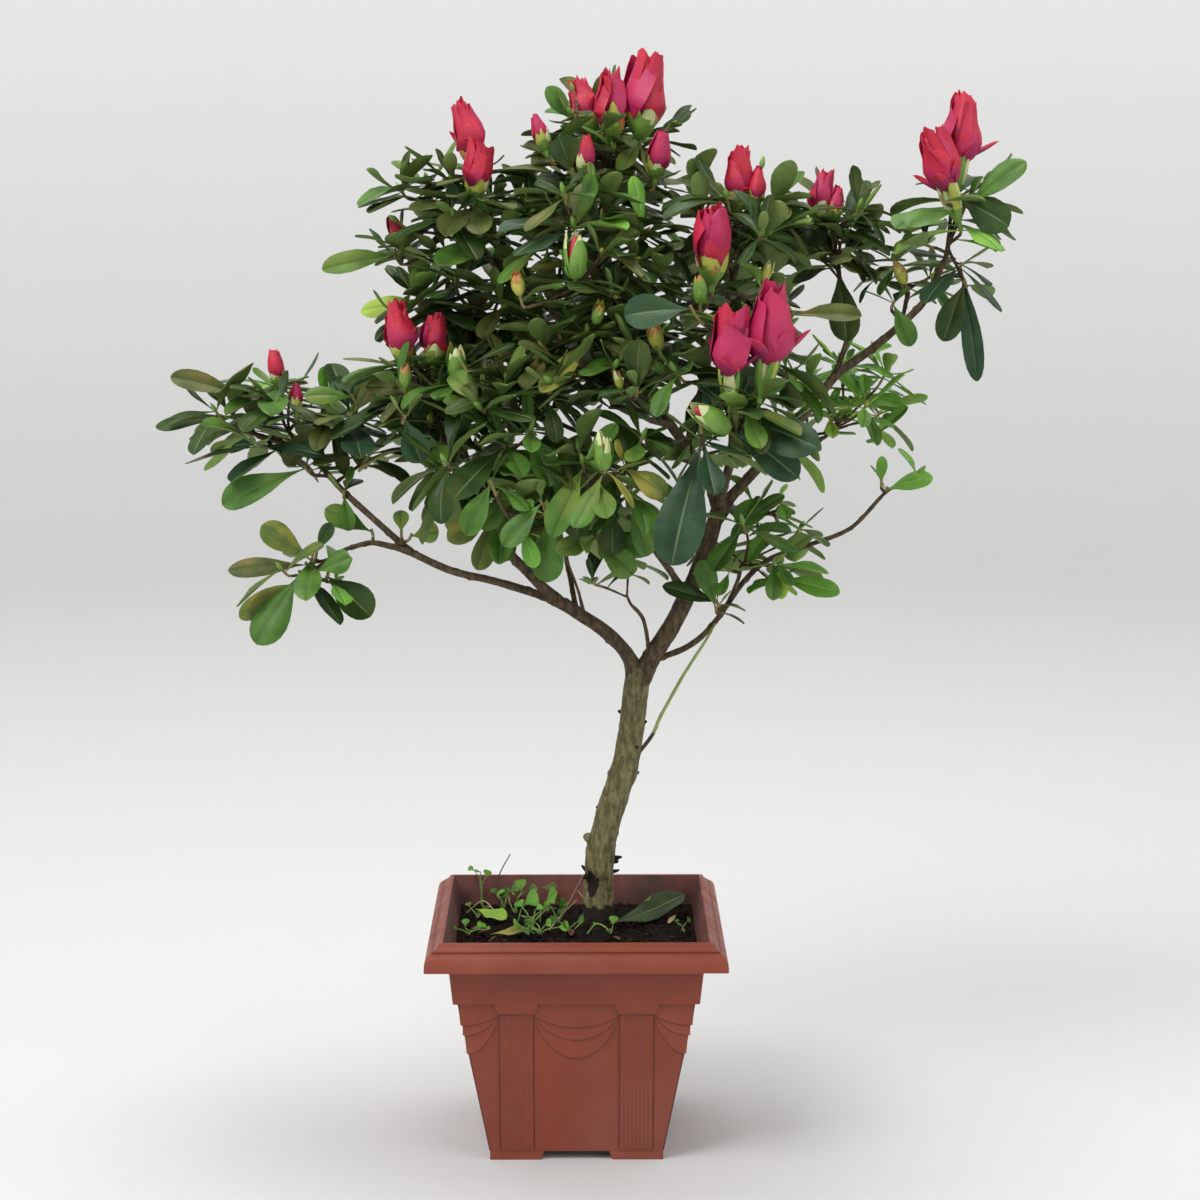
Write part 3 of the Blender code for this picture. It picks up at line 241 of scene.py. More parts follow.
LIMBS = (
    Limb("leader", "trunk", 0.965, 0.0053, 0.0045, mm(
        (46, 7, 287), (56, 6, 303), (64, 5, 320), (71, 3, 336), (78, 1, 358), (83, 0, 375),
    )),
    Limb("left_bough", "trunk", 0.955, 0.0043, 0.0036, mm(
        (32, 6, 280), (25, 4, 291), (13, 0, 302), (-1, -3, 312), (-14, -6, 320),
    )),
    Limb("left_outer_bough", "left_bough", 0.96, 0.0023, 0.0020, mm(
        (-43, -8, 329), (-70, -10, 336), (-90, -10, 345), (-98, -10, 349),
    )),
    Limb("left_low_bough", "left_outer_bough", 0.97, 0.0018, 0.0014, mm(
        (-115, -14, 353), (-127, -20, 351),
    )),
    Limb("left_tip_bough", "left_outer_bough", 0.95, 0.0019, 0.0016, mm(
        (-116, -4, 366), (-134, 6, 381), (-148, 16, 395),
    )),
    Limb("left_inner_bough", "left_bough", 0.95, 0.0031, 0.0025, mm(
        (-28, -10, 336), (-39, -16, 349), (-53, -22, 370),
    )),
    Limb("left_shoulder_bough", "left_inner_bough", 0.95, 0.0019, 0.0016, mm(
        (-62, -25, 385), (-74, -23, 414),
    )),
    Limb("front_left_bough", "left_inner_bough", 0.93, 0.0017, 0.0014, mm(
        (-52, -36, 374), (-49, -48, 382),
    )),
    Limb("back_left_bough", "left_inner_bough", 0.55, 0.0019, 0.0016, mm(
        (-46, 10, 360), (-60, 38, 386), (-67, 55, 403),
    )),
    Limb("low_back_bough", "left_bough", 0.78, 0.0017, 0.0013, mm((-3, 18, 326), (-8, 37, 347))),
    Limb("crown_bough", "leader", 0.97, 0.0036, 0.0020, mm(
        (74, 4, 391), (64, 8, 404), (45, 12, 432), (30, 14, 466), (18, 14, 505), (17, 12, 550),
    )),
    Limb("right_bough", "leader", 0.95, 0.0031, 0.0017, mm(
        (110, -4, 402), (133, -8, 430), (147, -12, 448), (165, -16, 462), (184, -22, 479), (195, -27, 492),
        (203, -32, 511),
    )),
    Limb("front_right_bough", "leader", 0.9, 0.0021, 0.0017, mm((84, -26, 387), (86, -56, 404))),
    Limb("front_middle_bough", "leader", 0.5, 0.0021, 0.0016, mm((46, -22, 348), (28, -52, 373))),
    Limb("back_right_bough", "leader", 0.8, 0.0023, 0.0017, mm(
        (90, 30, 402), (88, 50, 438), (86, 64, 461),
    )),
    Limb("centre_bough", "crown_bough", 0.28, 0.0019, 0.0015, mm((40, -16, 424), (22, -42, 442))),
    Limb("centre_left_bough", "crown_bough", 0.14, 0.0020, 0.0015, mm((36, -10, 408), (4, -32, 418))),
    Limb("back_middle_bough", "crown_bough", 0.3, 0.0020, 0.0016, mm((35, 40, 428), (18, 62, 446))),
    Limb("upper_right_bough", "crown_bough", 0.2, 0.0020, 0.0015, mm(
        (74, -8, 452), (84, -21, 488), (90, -30, 512),
    )),
    Limb("mid_left_bough", "crown_bough", 0.36, 0.0021, 0.0016, mm(
        (15, 14, 446), (-15, 18, 462), (-38, 20, 474),
    )),
    Limb("upper_left_bough", "crown_bough", 0.5, 0.0023, 0.0017, mm(
        (10, 8, 466), (-25, 4, 492), (-50, 2, 513),
    )),
    Limb("centre_front_bough", "crown_bough", 0.58, 0.0019, 0.0015, mm((20, -14, 484), (12, -36, 500))),
    Limb("back_top_bough", "crown_bough", 0.68, 0.0018, 0.0014, mm((18, 38, 516), (15, 56, 526))),
    Limb("right_shoulder_bough", "right_bough", 0.52, 0.0017, 0.0013, mm((153, -8, 469), (151, -4, 492))),
    Limb("right_inner_bough", "right_bough", 0.77, 0.0014, 0.0011, mm((184, -12, 482), (186, -5, 489))),
    Limb("right_back_bough", "right_bough", 0.2, 0.0018, 0.0013, mm((122, 18, 398), (144, 45, 406))),
    Limb("low_right_bough", "leader", 0.12, 0.0019, 0.0011, mm(
        (63, 4, 289), (78, 2, 302), (96, 0, 328), (111, 2, 341), (131, 4, 348), (157, 6, 358),
        (175, 8, 376),
    )),
    Limb("low_right_twig", "low_right_bough", 0.36, 0.0013, 0.0010, mm((93, -4, 331), (94, -5, 336))),
    Limb("inner_twig", "leader", 0.13, 0.0012, 0.0010, mm((39, 2, 305), (33, -2, 314))),
    Limb("left_bare_twig", "left_bough", 0.7, 0.0011, 0.0006, mm((1, -8, 325), (-7, -12, 347))),
    Limb("green_sucker", "trunk", 0.62, 0.0012, 0.0007, mm(
        (43, 8, 235), (49, 4, 249), (62, -4, 275), (74, -8, 295), (80, 1, 304),
    )),
)

MASSES = (
    Mass("left_low", mm(-152, -25, 336), mm(46, 42, 42), 3, LEAF, 0.3, 0, "sparse"),
    Mass("left_tip", mm(-175, 32, 412), mm(70, 48, 48), 5, LEAF, 0.2, 2, "open"),
    Mass("left_shoulder", mm(-84, -22, 444), mm(52, 46, 44), 5, LEAF, 0.1, 4, "open"),
    Mass("front_left", mm(-48, -60, 395), mm(58, 48, 50), 6, LEAF, 0.6, 2, "front"),
    Mass("front_middle", mm(10, -78, 392), mm(54, 46, 50), 6, LEAF, 0.6, 2, "front"),
    Mass("front_right", mm(88, -85, 427), mm(56, 50, 72), 5, LEAF, 0.5, 2, "front"),
    Mass("low_back", mm(-9, 52, 371), mm(48, 42, 42), 4, LEAF, 0.4, 1, "low"),
    Mass("back_left", mm(-76, 68, 426), mm(60, 58, 54), 5, LEAF, 0.2, 6, "open"),
    Mass("back_middle", mm(8, 74, 460), mm(60, 60, 56), 6, LEAF, 0.2, 10, "upper"),
    Mass("back_right", mm(85, 72, 480), mm(58, 59, 58), 6, LEAF, 0.2, 8, "upper"),
    Mass("back_top", mm(10, 70, 543), mm(56, 54, 48), 5, LEAF, 0.1, 8, "upper"),
    Mass("centre", mm(12, -62, 458), mm(62, 46, 46), 7, LEAF, 0.2, 9, "upper"),
    Mass("centre_left", mm(-32, -54, 438), mm(50, 46, 42), 5, LEAF, 0.3, 6, "open"),
    Mass("centre_front", mm(10, -52, 520), mm(58, 48, 46), 6, LEAF, 0.1, 9, "upper"),
    Mass("mid_left", mm(-62, 20, 484), mm(58, 48, 44), 5, LEAF, 0.2, 9, "upper"),
    Mass("upper_left", mm(-70, -4, 534), mm(64, 52, 50), 5, LEAF, 0.1, 9, "upper"),
    Mass("top", mm(18, 10, 582), mm(52, 50, 46), 4, LEAF, 0.1, 7, "upper"),
    Mass("upper_right", mm(90, -35, 532), mm(48, 48, 46), 4, LEAF, 0.1, 8, "upper"),
    Mass("right_shoulder", mm(144, 0, 520), mm(44, 44, 48), 5, LEAF, 0.2, 2, "open"),
    Mass("right_inner", mm(186, 2, 502), mm(32, 32, 30), 2, SMALL_LEAF, 0.1, 1, "open"),
    Mass("right_tip", mm(207, -34, 536), mm(42, 44, 80), 3, LEAF, 0.3, 0, "tip"),
    Mass("right_back", mm(161, 60, 421), mm(46, 44, 50), 6, SMALL_LEAF, 0.1, 3, "pale"),
    Mass("low_right", mm(106, 0, 346), mm(48, 42, 45), 6, SMALL_LEAF, 0.2, 1, "young"),
    Mass("low_right_tip", mm(188, 10, 386), mm(22, 20, 20), 1, TINY_LEAF, 0, 0, "sparse"),
    Mass("inner", mm(26, -5, 330), mm(30, 28, 28), 2, TINY_LEAF, 0.1, 0, "young"),
)
BOUGHS = {
    "top": "crown_bough", "right_tip": "right_bough", "low_right": "low_right_twig",
    "low_right_tip": "low_right_bough", "inner": "inner_twig",
}

FLOWERS = (
    Flower("top", mm(39, 5, 606), 0.045, (0.10, 0.0)),
    Flower("top", mm(20, 0, 601), 0.036, (-0.05, -0.1)),
    Flower("top", mm(4, 10, 600), 0.030, (-0.30, 0.1)),
    Flower("top", mm(-20, -10, 585), 0.018, (-0.30, 0.0)),
    Flower("top", mm(46, -20, 573), 0.024, (0.10, -0.2)),
    Flower("upper_left", mm(-60, -5, 585), 0.036, (-0.25, 0.0)),
    Flower("upper_left", mm(-54, -22, 565), 0.030, (0.10, -0.2)),
    Flower("left_shoulder", mm(-98, -20, 475), 0.032, (-0.10, 0.0)),
    Flower("left_shoulder", mm(-79, -15, 471), 0.026, (0.05, 0.0)),
    Flower("left_tip", mm(-173, 30, 451), 0.018, (-0.10, 0.0)),
    Flower("upper_right", mm(90, -22, 560), 0.032, (0.00, 0.0)),
    Flower("upper_right", mm(74, -68, 526), 0.040, (0.00, -0.2)),
    Flower("front_right", mm(82, -112, 474), 0.040, (0.00, -0.2)),
    Flower("front_right", mm(104, -108, 483), 0.048, (0.15, -0.1)),
    Flower("right_shoulder", mm(138, -10, 550), 0.028, (0.20, 0.0)),
    Flower("right_tip", mm(212, -30, 585), 0.042, (0.10, 0.0)),
    Flower("right_tip", mm(198, -44, 569), 0.040, (-0.35, -0.1)),
)
LONG_LEAVES = leaf_rows({
    "left_low": [((-156, -26, 339), (-178, -40, 300), "mid", 0.44)],
    "left_tip": [
        ((-200, 38, 422), (-243, 42, 413), "dark", 0.24), ((-194, 30, 435), (-232, 25, 443), "dusty", 0.32),
    ],
    "upper_left": [((-103, 0, 516), (-141, -5, 506), "mid", 0.36)],
    "mid_left": [((-89, 20, 488), (-122, 30, 481), "yellow", 0.40)],
    "right_tip": [
        ((214, -38, 543), (246, -42, 566), "mid", 0.36), ((213, -35, 512), (222, -38, 448), "blue", 0.18),
    ],
    "front_right": [
        ((67, -105, 422), (52, -118, 357), "blue", 0.40), ((88, -100, 434), (127, -118, 418), "blue", 0.50),
    ],
    "front_middle": [((-15, -85, 381), (-15, -95, 344), "mid", 0.46)],
    "right_shoulder": [((148, 0, 511), (148, -6, 464), "dark", 0.40)],
    "right_back": [((166, 62, 430), (194, 64, 422), "bright", 0.40)],
    "low_right": [((118, 2, 331), (150, -4, 322), "bright", 0.38)],
    "low_right_tip": [((179, 8, 382), (204, 6, 387), "bright", 0.40)],
})

SINGLE_LEAVES = leaf_rows({
    "left_tip": [
        ((-155, 5, 395), (-200, 1, 373), "mid", 0.36), ((-132, 0, 381), (-129, -4, 359), "mid", 0.46),
        ((-117, 0, 359), (-139, -4, 378), "mid", 0.46), ((-127, 0, 436), (-153, -6, 435), "mid", 0.42),
        ((-127, 0, 426), (-108, -6, 449), "dusty", 0.36),
    ],
    "left_shoulder": [
        ((-93, -60, 430), (-85, -64, 405), "blue", 0.62), ((-66, -60, 415), (-65, -64, 386), "blue", 0.58),
        ((-70, -60, 396), (-80, -66, 378), "mid", 0.62), ((-77, -40, 444), (-115, -36, 443), "dusty", 0.26),
    ],
    "front_left": [
        ((-53, -70, 387), (-54, -74, 369), "bright", 0.60), ((-19, -95, 388), (-38, -99, 364), "mid", 0.46),
    ],
    "front_middle": [
        ((1, -100, 394), (1, -104, 369), "dark", 0.58), ((-28, -95, 374), (-22, -99, 352), "bright", 0.44),
        ((-46, -90, 398), (-58, -94, 369), "mid", 0.46), ((16, -105, 408), (19, -109, 378), "patched", 0.56),
        ((27, -100, 407), (48, -104, 391), "patched", 0.50), ((20, -90, 384), (20, -94, 358), "dark", 0.62),
    ],
    "front_right": [
        ((61, -95, 492), (27, -99, 486), "blue", 0.56), ((51, -100, 456), (64, -104, 484), "patched", 0.56),
        ((86, -104, 428), (117, -112, 402), "blue", 0.47), ((81, -104, 421), (94, -110, 395), "dark", 0.60),
        ((66, -116, 432), (64, -120, 415), "mid", 0.42), ((70, -108, 442), (36, -112, 452), "bright", 0.34),
        ((77, -106, 438), (67, -104, 461), "dark", 0.44), ((59, -104, 423), (40, -108, 405), "mid", 0.32),
        ((90, -100, 443), (109, -100, 457), "mid", 0.42), ((117, -95, 489), (151, -98, 486), "dusty", 0.30),
    ],
    "right_inner": [((178, -20, 490), (192, -24, 466), "mid", 0.46)],
    "top": [
        ((-2, -48, 564), (-9, -52, 580), "dark", 0.85), ((-2, -10, 591), (-16, -14, 607), "mid", 0.46),
    ],
    "right_tip": [
        ((214, -40, 503), (203, -44, 470), "dark", 0.44), ((212, -42, 548), (236, -46, 532), "dark", 0.80),
        ((199, -50, 549), (171, -54, 547), "dusty", 0.34),
    ],
    "right_back": [((179, 60, 409), (195, 56, 423), "bright", 0.30)],
    "left_low": [
        ((-139, -30, 338), (-116, -36, 315), "dark", 0.60), ((-146, -36, 341), (-126, -40, 348), "mid", 0.60),
        ((-152, -30, 336), (-192, -32, 333), "yellow", 0.36),
        ((-149, -26, 346), (-176, -28, 364), "patched", 0.46),
        ((-146, -24, 350), (-137, -24, 365), "dark", 0.44),
        ((-153, -20, 343), (-195, -22, 338), "dusty", 0.28),
        ((-153, -22, 334), (-189, -22, 311), "patched", 0.32),
        ((-139, -20, 352), (-116, -20, 362), "mid", 0.46),
        ((-93, -12, 358), (-78, -14, 359), "mid", 0.80), ((-99, -12, 360), (-99, -12, 371), "mid", 0.70),
    ],
    "low_right": [
        ((115, -4, 377), (91, -10, 365), "mid", 0.55), ((114, 0, 366), (99, -4, 341), "bright", 0.32),
        ((80, -6, 319), (50, -12, 327), "dark", 0.34), ((80, -6, 315), (71, -10, 342), "mid", 0.40),
        ((91, 0, 318), (127, -4, 316), "dark", 0.34), ((98, 0, 335), (115, -4, 363), "mid", 0.42),
        ((88, 4, 340), (85, 0, 375), "dark", 0.44),
    ],
    "low_right_tip": [((175, 6, 387), (175, 4, 400), "bright", 0.42)],
    "centre": [((33, -98, 449), (34, -102, 474), "dark", 0.50)],
})

EXTRAS = (
    Extra("centre_front", "bud", mm(0, -82, 507), 0.026, (0.0, -0.1)),
    Extra("centre_front", "bud", mm(-30, -75, 497), 0.014, (-0.2, -0.1)),
    Extra("centre_front", "bud", mm(11, -80, 482), 0.013, (0.2, -0.2)),
    Extra("centre", "bud", mm(45, -80, 468), 0.016, (-0.3, -0.2)),
    Extra("centre", "bud", mm(24, -88, 448), 0.010, (-0.2, -0.2)),
    Extra("front_middle", "bud", mm(15, -103, 406), 0.021, (0.0, -0.1)),
    Extra("upper_right", "bud", mm(103, -50, 503), 0.012, (0.3, 0.0)),
    Extra("upper_right", "bud", mm(67, -78, 493), 0.016, (0.0, -0.1)),
    Extra("front_right", "bud", mm(80, -112, 427), 0.026, (-1.4, -0.2)),
    Extra("left_shoulder", "bud", mm(-66, -40, 449), 0.020, (0.0, 0.0)),
    Extra("left_shoulder", "bud", mm(-94, -46, 444), 0.014, (0.0, -0.1)),
    Extra("right_inner", "bud", mm(184, -14, 500), 0.014, (-0.5, -0.1)),
    Extra("upper_left", "flower", mm(-99, -8, 523), 0.015, (-0.3, 0.0)),
    Extra("top", "flower", mm(5, -30, 563), 0.019, (0.1, -0.1)),
    Extra("upper_right", "flower", mm(99, -26, 545), 0.020, (0.1, 0.0)),
    Extra("right_shoulder", "flower", mm(144, -14, 538), 0.016, (0.2, 0.0)),
    Extra("left_tip", "flower", mm(-160, 16, 428), 0.014, (0.0, 0.0)),
    Extra("left_tip", "shoot", mm(-128, 8, 424), 0.90, (0.1, -0.1)),
    Extra("left_tip", "shoot", mm(-118, 10, 402), 0.70, (0.4, -0.3)),
    Extra("left_shoulder", "shoot", mm(-103, -6, 433), 0.85, (-0.4, -0.2)),
    Extra("left_shoulder", "shoot", mm(-92, -14, 410), 0.80, (-0.3, -0.4)),
    Extra("left_shoulder", "shoot", mm(-81, -30, 424), 0.80, (0.0, -0.4)),
    Extra("left_shoulder", "shoot", mm(-66, -50, 415), 0.70, (0.1, -0.4)),
)

CLUSTERS = (
    Cluster((-0.034, 0.030), 1, 0.003, 0.015, 0.0115, "bright"),
    Cluster((-0.021, 0.028), 1, 0.003, 0.015, 0.0110, "bright"),
    Cluster((-0.036, 0.050), 4, 0.009, 0.014, 0.0070, "bright"),
    Cluster((-0.028, 0.014), 4, 0.010, 0.012, 0.0065, "bright"),
    Cluster((-0.022, 0.000), 8, 0.013, 0.006, 0.0072, "bright"),
    Cluster((-0.004, 0.006), 4, 0.010, 0.006, 0.0070, "mid"),
    Cluster((-0.012, 0.028), 4, 0.007, 0.010, 0.0060, "bright"),
    Cluster((-0.045, 0.060), 4, 0.007, 0.010, 0.0070, "mid"),
    Cluster((-0.062, 0.004), 6, 0.009, 0.004, 0.0050, "bright"),
    Cluster((-0.060, 0.040), 4, 0.009, 0.006, 0.0045, "mid"),
    Cluster((-0.058, 0.066), 3, 0.007, 0.024, 0.0050, "bright"),
    Cluster((0.018, 0.004), 3, 0.008, 0.005, 0.0055, "bright"),
    Cluster((0.062, 0.008), 3, 0.006, 0.006, 0.0035, "mid"),
)
LOOSE_LEAVES = (
    ((0.020, 0.010, 0.1235), (0.064, 0.038, 0.1315), 0.34, (-0.2, -0.75, 0.65), -0.5, 0.35, "fallen"),
    ((-0.060, 0.036, 0.125), (-0.042, 0.022, 0.1235), 0.5, (0.0, -0.5, 0.8), 0.3, 0.2, "yellow"),
    ((-0.050, -0.010, 0.1225), (-0.028, -0.004, 0.124), 0.4, (0.0, -0.3, 0.9), 0.2, 0.1, "patched"),
    ((-0.022, 0.066, 0.130), (-0.012, 0.064, 0.132), 0.5, (0.0, -0.6, 0.8), 0.2, 0.0, "dusty"),
    ((0.046, 0.066, 0.1235), (0.055, 0.062, 0.127), 0.5, (0.0, -0.6, 0.8), 0.4, 0.3, "dusty"),
)
STALKS = (
    (((-0.010, 0.030, SOIL_TOP), (-0.004, 0.024, 0.133), (0.004, 0.012, 0.152)), 1),
    (((-0.016, 0.012, SOIL_TOP), (-0.010, 0.022, 0.124), (0.000, 0.034, 0.131)), 1),
    (((-0.052, 0.066, SOIL_TOP), (-0.047, 0.065, 0.138), (-0.040, 0.063, 0.152)), 2),
    (((-0.066, 0.050, SOIL_TOP), (-0.056, 0.044, 0.128), (-0.048, 0.036, 0.123)), 1),
    (((0.006, 0.002, SOIL_TOP), (0.012, 0.000, 0.126), (0.020, -0.002, 0.122)), 0),
    (((0.012, 0.006, SOIL_TOP), (0.008, 0.018, 0.130), (0.001, 0.026, 0.139)), 1),
    (((-0.030, 0.010, SOIL_TOP), (-0.018, 0.020, 0.129), (-0.012, 0.030, 0.127)), 0),
)


def tint(red, green, blue):
    """A linear colour from screen values of 0 to 255."""
    return tuple(((v / 255 + 0.055) / 1.055) ** 2.4 for v in (red, green, blue))


LEAF_SHINE = 0.2
LEAF_TINTS = {
    # The first kind's grey olive is painted sheen: the sky's reflection on the tops of the upper leaves.
    "dusty": (tint(92, 98, 50), tint(66, 76, 34), tint(116, 104, 52), 0.7),
    "dark": (tint(50, 74, 28), tint(33, 55, 20), tint(78, 82, 38), 0.6),
    "blue": (tint(46, 74, 48), tint(34, 57, 37), tint(60, 84, 46), 0.5),
    "mid": (tint(80, 118, 44), tint(58, 94, 36), tint(114, 128, 54), 0.6),
    "bright": (tint(104, 154, 56), tint(82, 132, 46), tint(132, 168, 66), 0.5),
    "yellow": (tint(148, 180, 66), tint(120, 160, 54), tint(168, 184, 78), 0.5),
    "patched": (tint(98, 110, 44), tint(66, 90, 40), tint(150, 142, 64), 0.9),
    "fallen": (tint(58, 74, 42), tint(44, 56, 34), tint(82, 62, 42), 0.7),
}
UNDER_TINTS = (tint(110, 132, 70), tint(88, 112, 54), tint(126, 136, 76), 0.5)
UNDER_BRIGHT_TINTS = (tint(134, 168, 78), tint(110, 148, 62), tint(150, 178, 88), 0.5)
LEAF_KINDS = tuple(LEAF_TINTS)
UNDER = len(LEAF_KINDS)
UNDER_BRIGHT = UNDER + 1
RIB = UNDER + 2
RIB_BRIGHT = UNDER + 3
BRIGHT_KINDS = ("bright", "yellow")
LOOKS = {
    # The upper crown's leaves mostly take the grey olive kind of painted sheen.
    "upper": {"dusty": 50, "dark": 27, "mid": 10, "patched": 7, "blue": 4, "bright": 2},
    "open": {"dusty": 32, "dark": 30, "mid": 22, "patched": 5, "blue": 6, "bright": 5},
    "front": {"dusty": 6, "dark": 26, "mid": 38, "blue": 14, "bright": 10, "patched": 6},
    "low": {"mid": 40, "bright": 22, "dark": 18, "patched": 12, "yellow": 8},
    "pale": {"bright": 56, "mid": 24, "yellow": 20},
    "sparse": {"mid": 40, "bright": 25, "patched": 20, "dark": 15},
    "tip": {"mid": 34, "dark": 34, "blue": 14, "dusty": 8, "bright": 10},
    "young": {"bright": 34, "mid": 46, "dark": 14, "yellow": 6},
}
OWN_LOOK = 0.72
# Darker kinds for the small shoots deep inside a crown: painted shade of the crown's heart.
HEART_SHADE_LOOK = {"dark": 62, "dusty": 18, "mid": 12, "blue": 8}
STYLES = {
    "upper": Style(1.6, 0.8, 6, 6, 3, 2, 62, (-0.1, 0.8), 0.41),
    "open": Style(1.4, 0.8, 6, 4, 2, 2, 62, (0.0, 0.8), 0.41),
    "front": Style(0.6, 0.4, 6, 2, 2, 1, 62, (0.1, 0.8), 0.43),
    "low": Style(0.7, 0.5, 6, 2, 1, 1, 62, (0.1, 0.8), 0.43),
    "pale": Style(0.8, 0.6, 6, 2, 2, 2, 60, (0.0, 0.8), 0.34),
    "sparse": Style(0.8, 0.6, 2, 0, 0, 0, 60, (0.1, 0.6), 0.42),
    "tip": Style(0.9, 0.6, 4, 1, 1, 1, 64, (0.1, 0.8), 0.46),
    "young": Style(0.8, 0.6, 5, 1, 1, 1, 62, (0.1, 0.8), 0.42),
}


def smooth(points, steps):
    """Points on one curve through the given ones, so many to each span."""
    points = [Vector(p) for p in points]
    before = points[0] * 2 - points[1]
    after = points[-1] * 2 - points[-2]
    chain = [before, *points, after]
    curve = []
    for a, b, c, d in zip(chain, chain[1:], chain[2:], chain[3:]):
        for step in range(steps):
            t = step / steps
            straight = 2 * b + (c - a) * t
            bend = (2 * a - 5 * b + 4 * c - d) * t**2
            twist = (3 * b - a - 3 * c + d) * t**3
            curve.append((straight + bend + twist) / 2)
    curve.append(points[-1])
    return curve


def tangents(points):
    """The direction of travel at each point of a chain."""
    last = len(points) - 1
    return [(points[min(i + 1, last)] - points[max(i - 1, 0)]).normalized() for i in range(last + 1)]


def across(direction, hint=Vector((0.3, -1, 0.2))):
    """A unit vector square to the direction, on the hint's side."""
    return (hint - direction * hint.dot(direction)).normalized()


def along(points, share):
    """The point at a share of a chain's length."""
    lengths = [(b - a).length for a, b in zip(points, points[1:])]
    left = share * sum(lengths)
    for a, b, length in zip(points, points[1:], lengths):
        if left <= length:
            return a.lerp(b, left / length)
        left -= length
    return points[-1].copy()


def taper(points, start, end):
    """A radius at each point of a chain, changing evenly from start to end."""
    last = len(points) - 1
    return [start + (end - start) * i / last for i in range(last + 1)]


def tube(points, radii, sides, extra=0.0):
    """The vertices and faces of a closed tube, grown on all sides by extra."""
    directions = tangents(points)
    side = across(directions[0])
    rings = []
    for i, (point, direction) in enumerate(zip(points, directions)):
        side = across(direction, side)
        third = direction.cross(side)
        ends = {0: -extra, len(points) - 1: extra}
        centre = point + direction * ends.get(i, 0.0)
        for k in range(sides):
            angle = 2 * math.pi * k / sides
            rings.append(centre + (side * math.cos(angle) + third * math.sin(angle)) * (radii[i] + extra))
    return rings, tube_faces(len(points), sides)


def tube_faces(rings, sides):
    """The faces of a tube of so many rings, with flat ends."""
    faces = []
    for i in range(rings - 1):
        for k in range(sides):
            a = i * sides + k
            b = i * sides + (k + 1) % sides
            faces.append((a, b, b + sides, a + sides))
    faces.append(tuple(reversed(range(sides))))
    faces.append(tuple(range((rings - 1) * sides, rings * sides)))
    return faces


def grid_faces(rows, columns):
    """The faces of a grid of points, row by row."""
    faces = []
    for i in range(rows - 1):
        for k in range(columns - 1):
            a = i * columns + k
            faces.append((a, a + 1, a + columns + 1, a + columns))
    return faces


def grid_edge(rows, columns):
    """The points round a grid, in order."""
    edge = list(range(columns))
    edge += [i * columns + columns - 1 for i in range(1, rows)]
    edge += [(rows - 1) * columns + k for k in reversed(range(columns - 1))]
    edge += [i * columns for i in reversed(range(1, rows - 1))]
    return edge


def ends_of(ring):
    """Each point of a ring with the next one."""
    return zip(ring, ring[1:] + ring[:1])


class Builder:
    """Vertices and faces gathered for one joined mesh."""

    def __init__(self, name, materials):
        self.name = name
        self.materials = materials
        self.vertices = []
        self.faces = []
        self.slots = []

    def add(self, vertices, faces, slots=0):
        """Adds one shape. Its faces take one material's place, or each its own."""
        start = len(self.vertices)
        self.vertices.extend(tuple(v) for v in vertices)
        self.faces.extend(tuple(start + k for k in face) for face in faces)
        self.slots.extend([slots] * len(faces) if isinstance(slots, int) else slots)

    def make(self, sharp=60):
        """The mesh object, shaded smooth but for edges sharper than the angle."""
        mesh = bpy.data.meshes.new(self.name)
        mesh.from_pydata(self.vertices, [], self.faces)
        for material in self.materials:
            mesh.materials.append(material)
        mesh.polygons.foreach_set("material_index", self.slots)
        mesh.update()
        mesh.shade_smooth()
        mesh.set_sharp_from_angle(angle=math.radians(sharp))
        thing = bpy.data.objects.new(self.name, mesh)
        bpy.context.scene.collection.objects.link(thing)
        return thing

    def make_piece(self, slot, *nodes, sharp=60):
        """The finished piece, which rides with the pot and replaces the solids named."""
        piece = self.make(sharp)
        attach(piece, "root")
        if nodes:
            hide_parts(*nodes)


def plain_material(name, colour, roughness):
    material = bpy.data.materials.new(name)
    material.use_nodes = True
    shader = material.node_tree.nodes["Principled BSDF"]
    shader.inputs["Base Color"].default_value = (*colour, 1)
    shader.inputs["Roughness"].default_value = roughness
    return material


def add_noise(tree, scale, detail=4.0, stretch=(1.0, 1.0, 1.0)):
    """Noise in the object's own coordinates, drawn out along an axis where stretch is small."""
    place = tree.nodes.new("ShaderNodeTexCoord")
    mapping = tree.nodes.new("ShaderNodeMapping")
    mapping.inputs["Scale"].default_value = stretch
    grain = tree.nodes.new("ShaderNodeTexNoise")
    grain.inputs["Scale"].default_value = scale
    grain.inputs["Detail"].default_value = detail
    tree.links.new(place.outputs["Object"], mapping.inputs["Vector"])
    tree.links.new(mapping.outputs["Vector"], grain.inputs["Vector"])
    return grain.outputs["Fac"]


def add_range(tree, value, low, high, least=0.0, most=1.0):
    """The value spread so that low gives least and high gives most."""
    spread = tree.nodes.new("ShaderNodeMapRange")
    for name, number in (("From Min", low), ("From Max", high), ("To Min", least), ("To Max", most)):
        spread.inputs[name].default_value = number
    tree.links.new(value, spread.inputs["Value"])
    return spread.outputs["Result"]


def add_mix(tree, share, first, second):
    """A colour that runs from the first, a colour or an output, to the second."""
    mix = tree.nodes.new("ShaderNodeMix")
    mix.data_type = "RGBA"
    tree.links.new(share, mix.inputs["Factor"])
    for socket, colour in ((mix.inputs[6], first), (mix.inputs[7], second)):
        if isinstance(colour, tuple):
            socket.default_value = (*colour, 1)
        else:
            tree.links.new(colour, socket)
    return mix.outputs[2]


def add_bump(tree, shader, height, depth):
    bump = tree.nodes.new("ShaderNodeBump")
    bump.inputs["Strength"].default_value = 1.0
    bump.inputs["Distance"].default_value = depth
    tree.links.new(height, bump.inputs["Height"])
    tree.links.new(bump.outputs["Normal"], shader.inputs["Normal"])


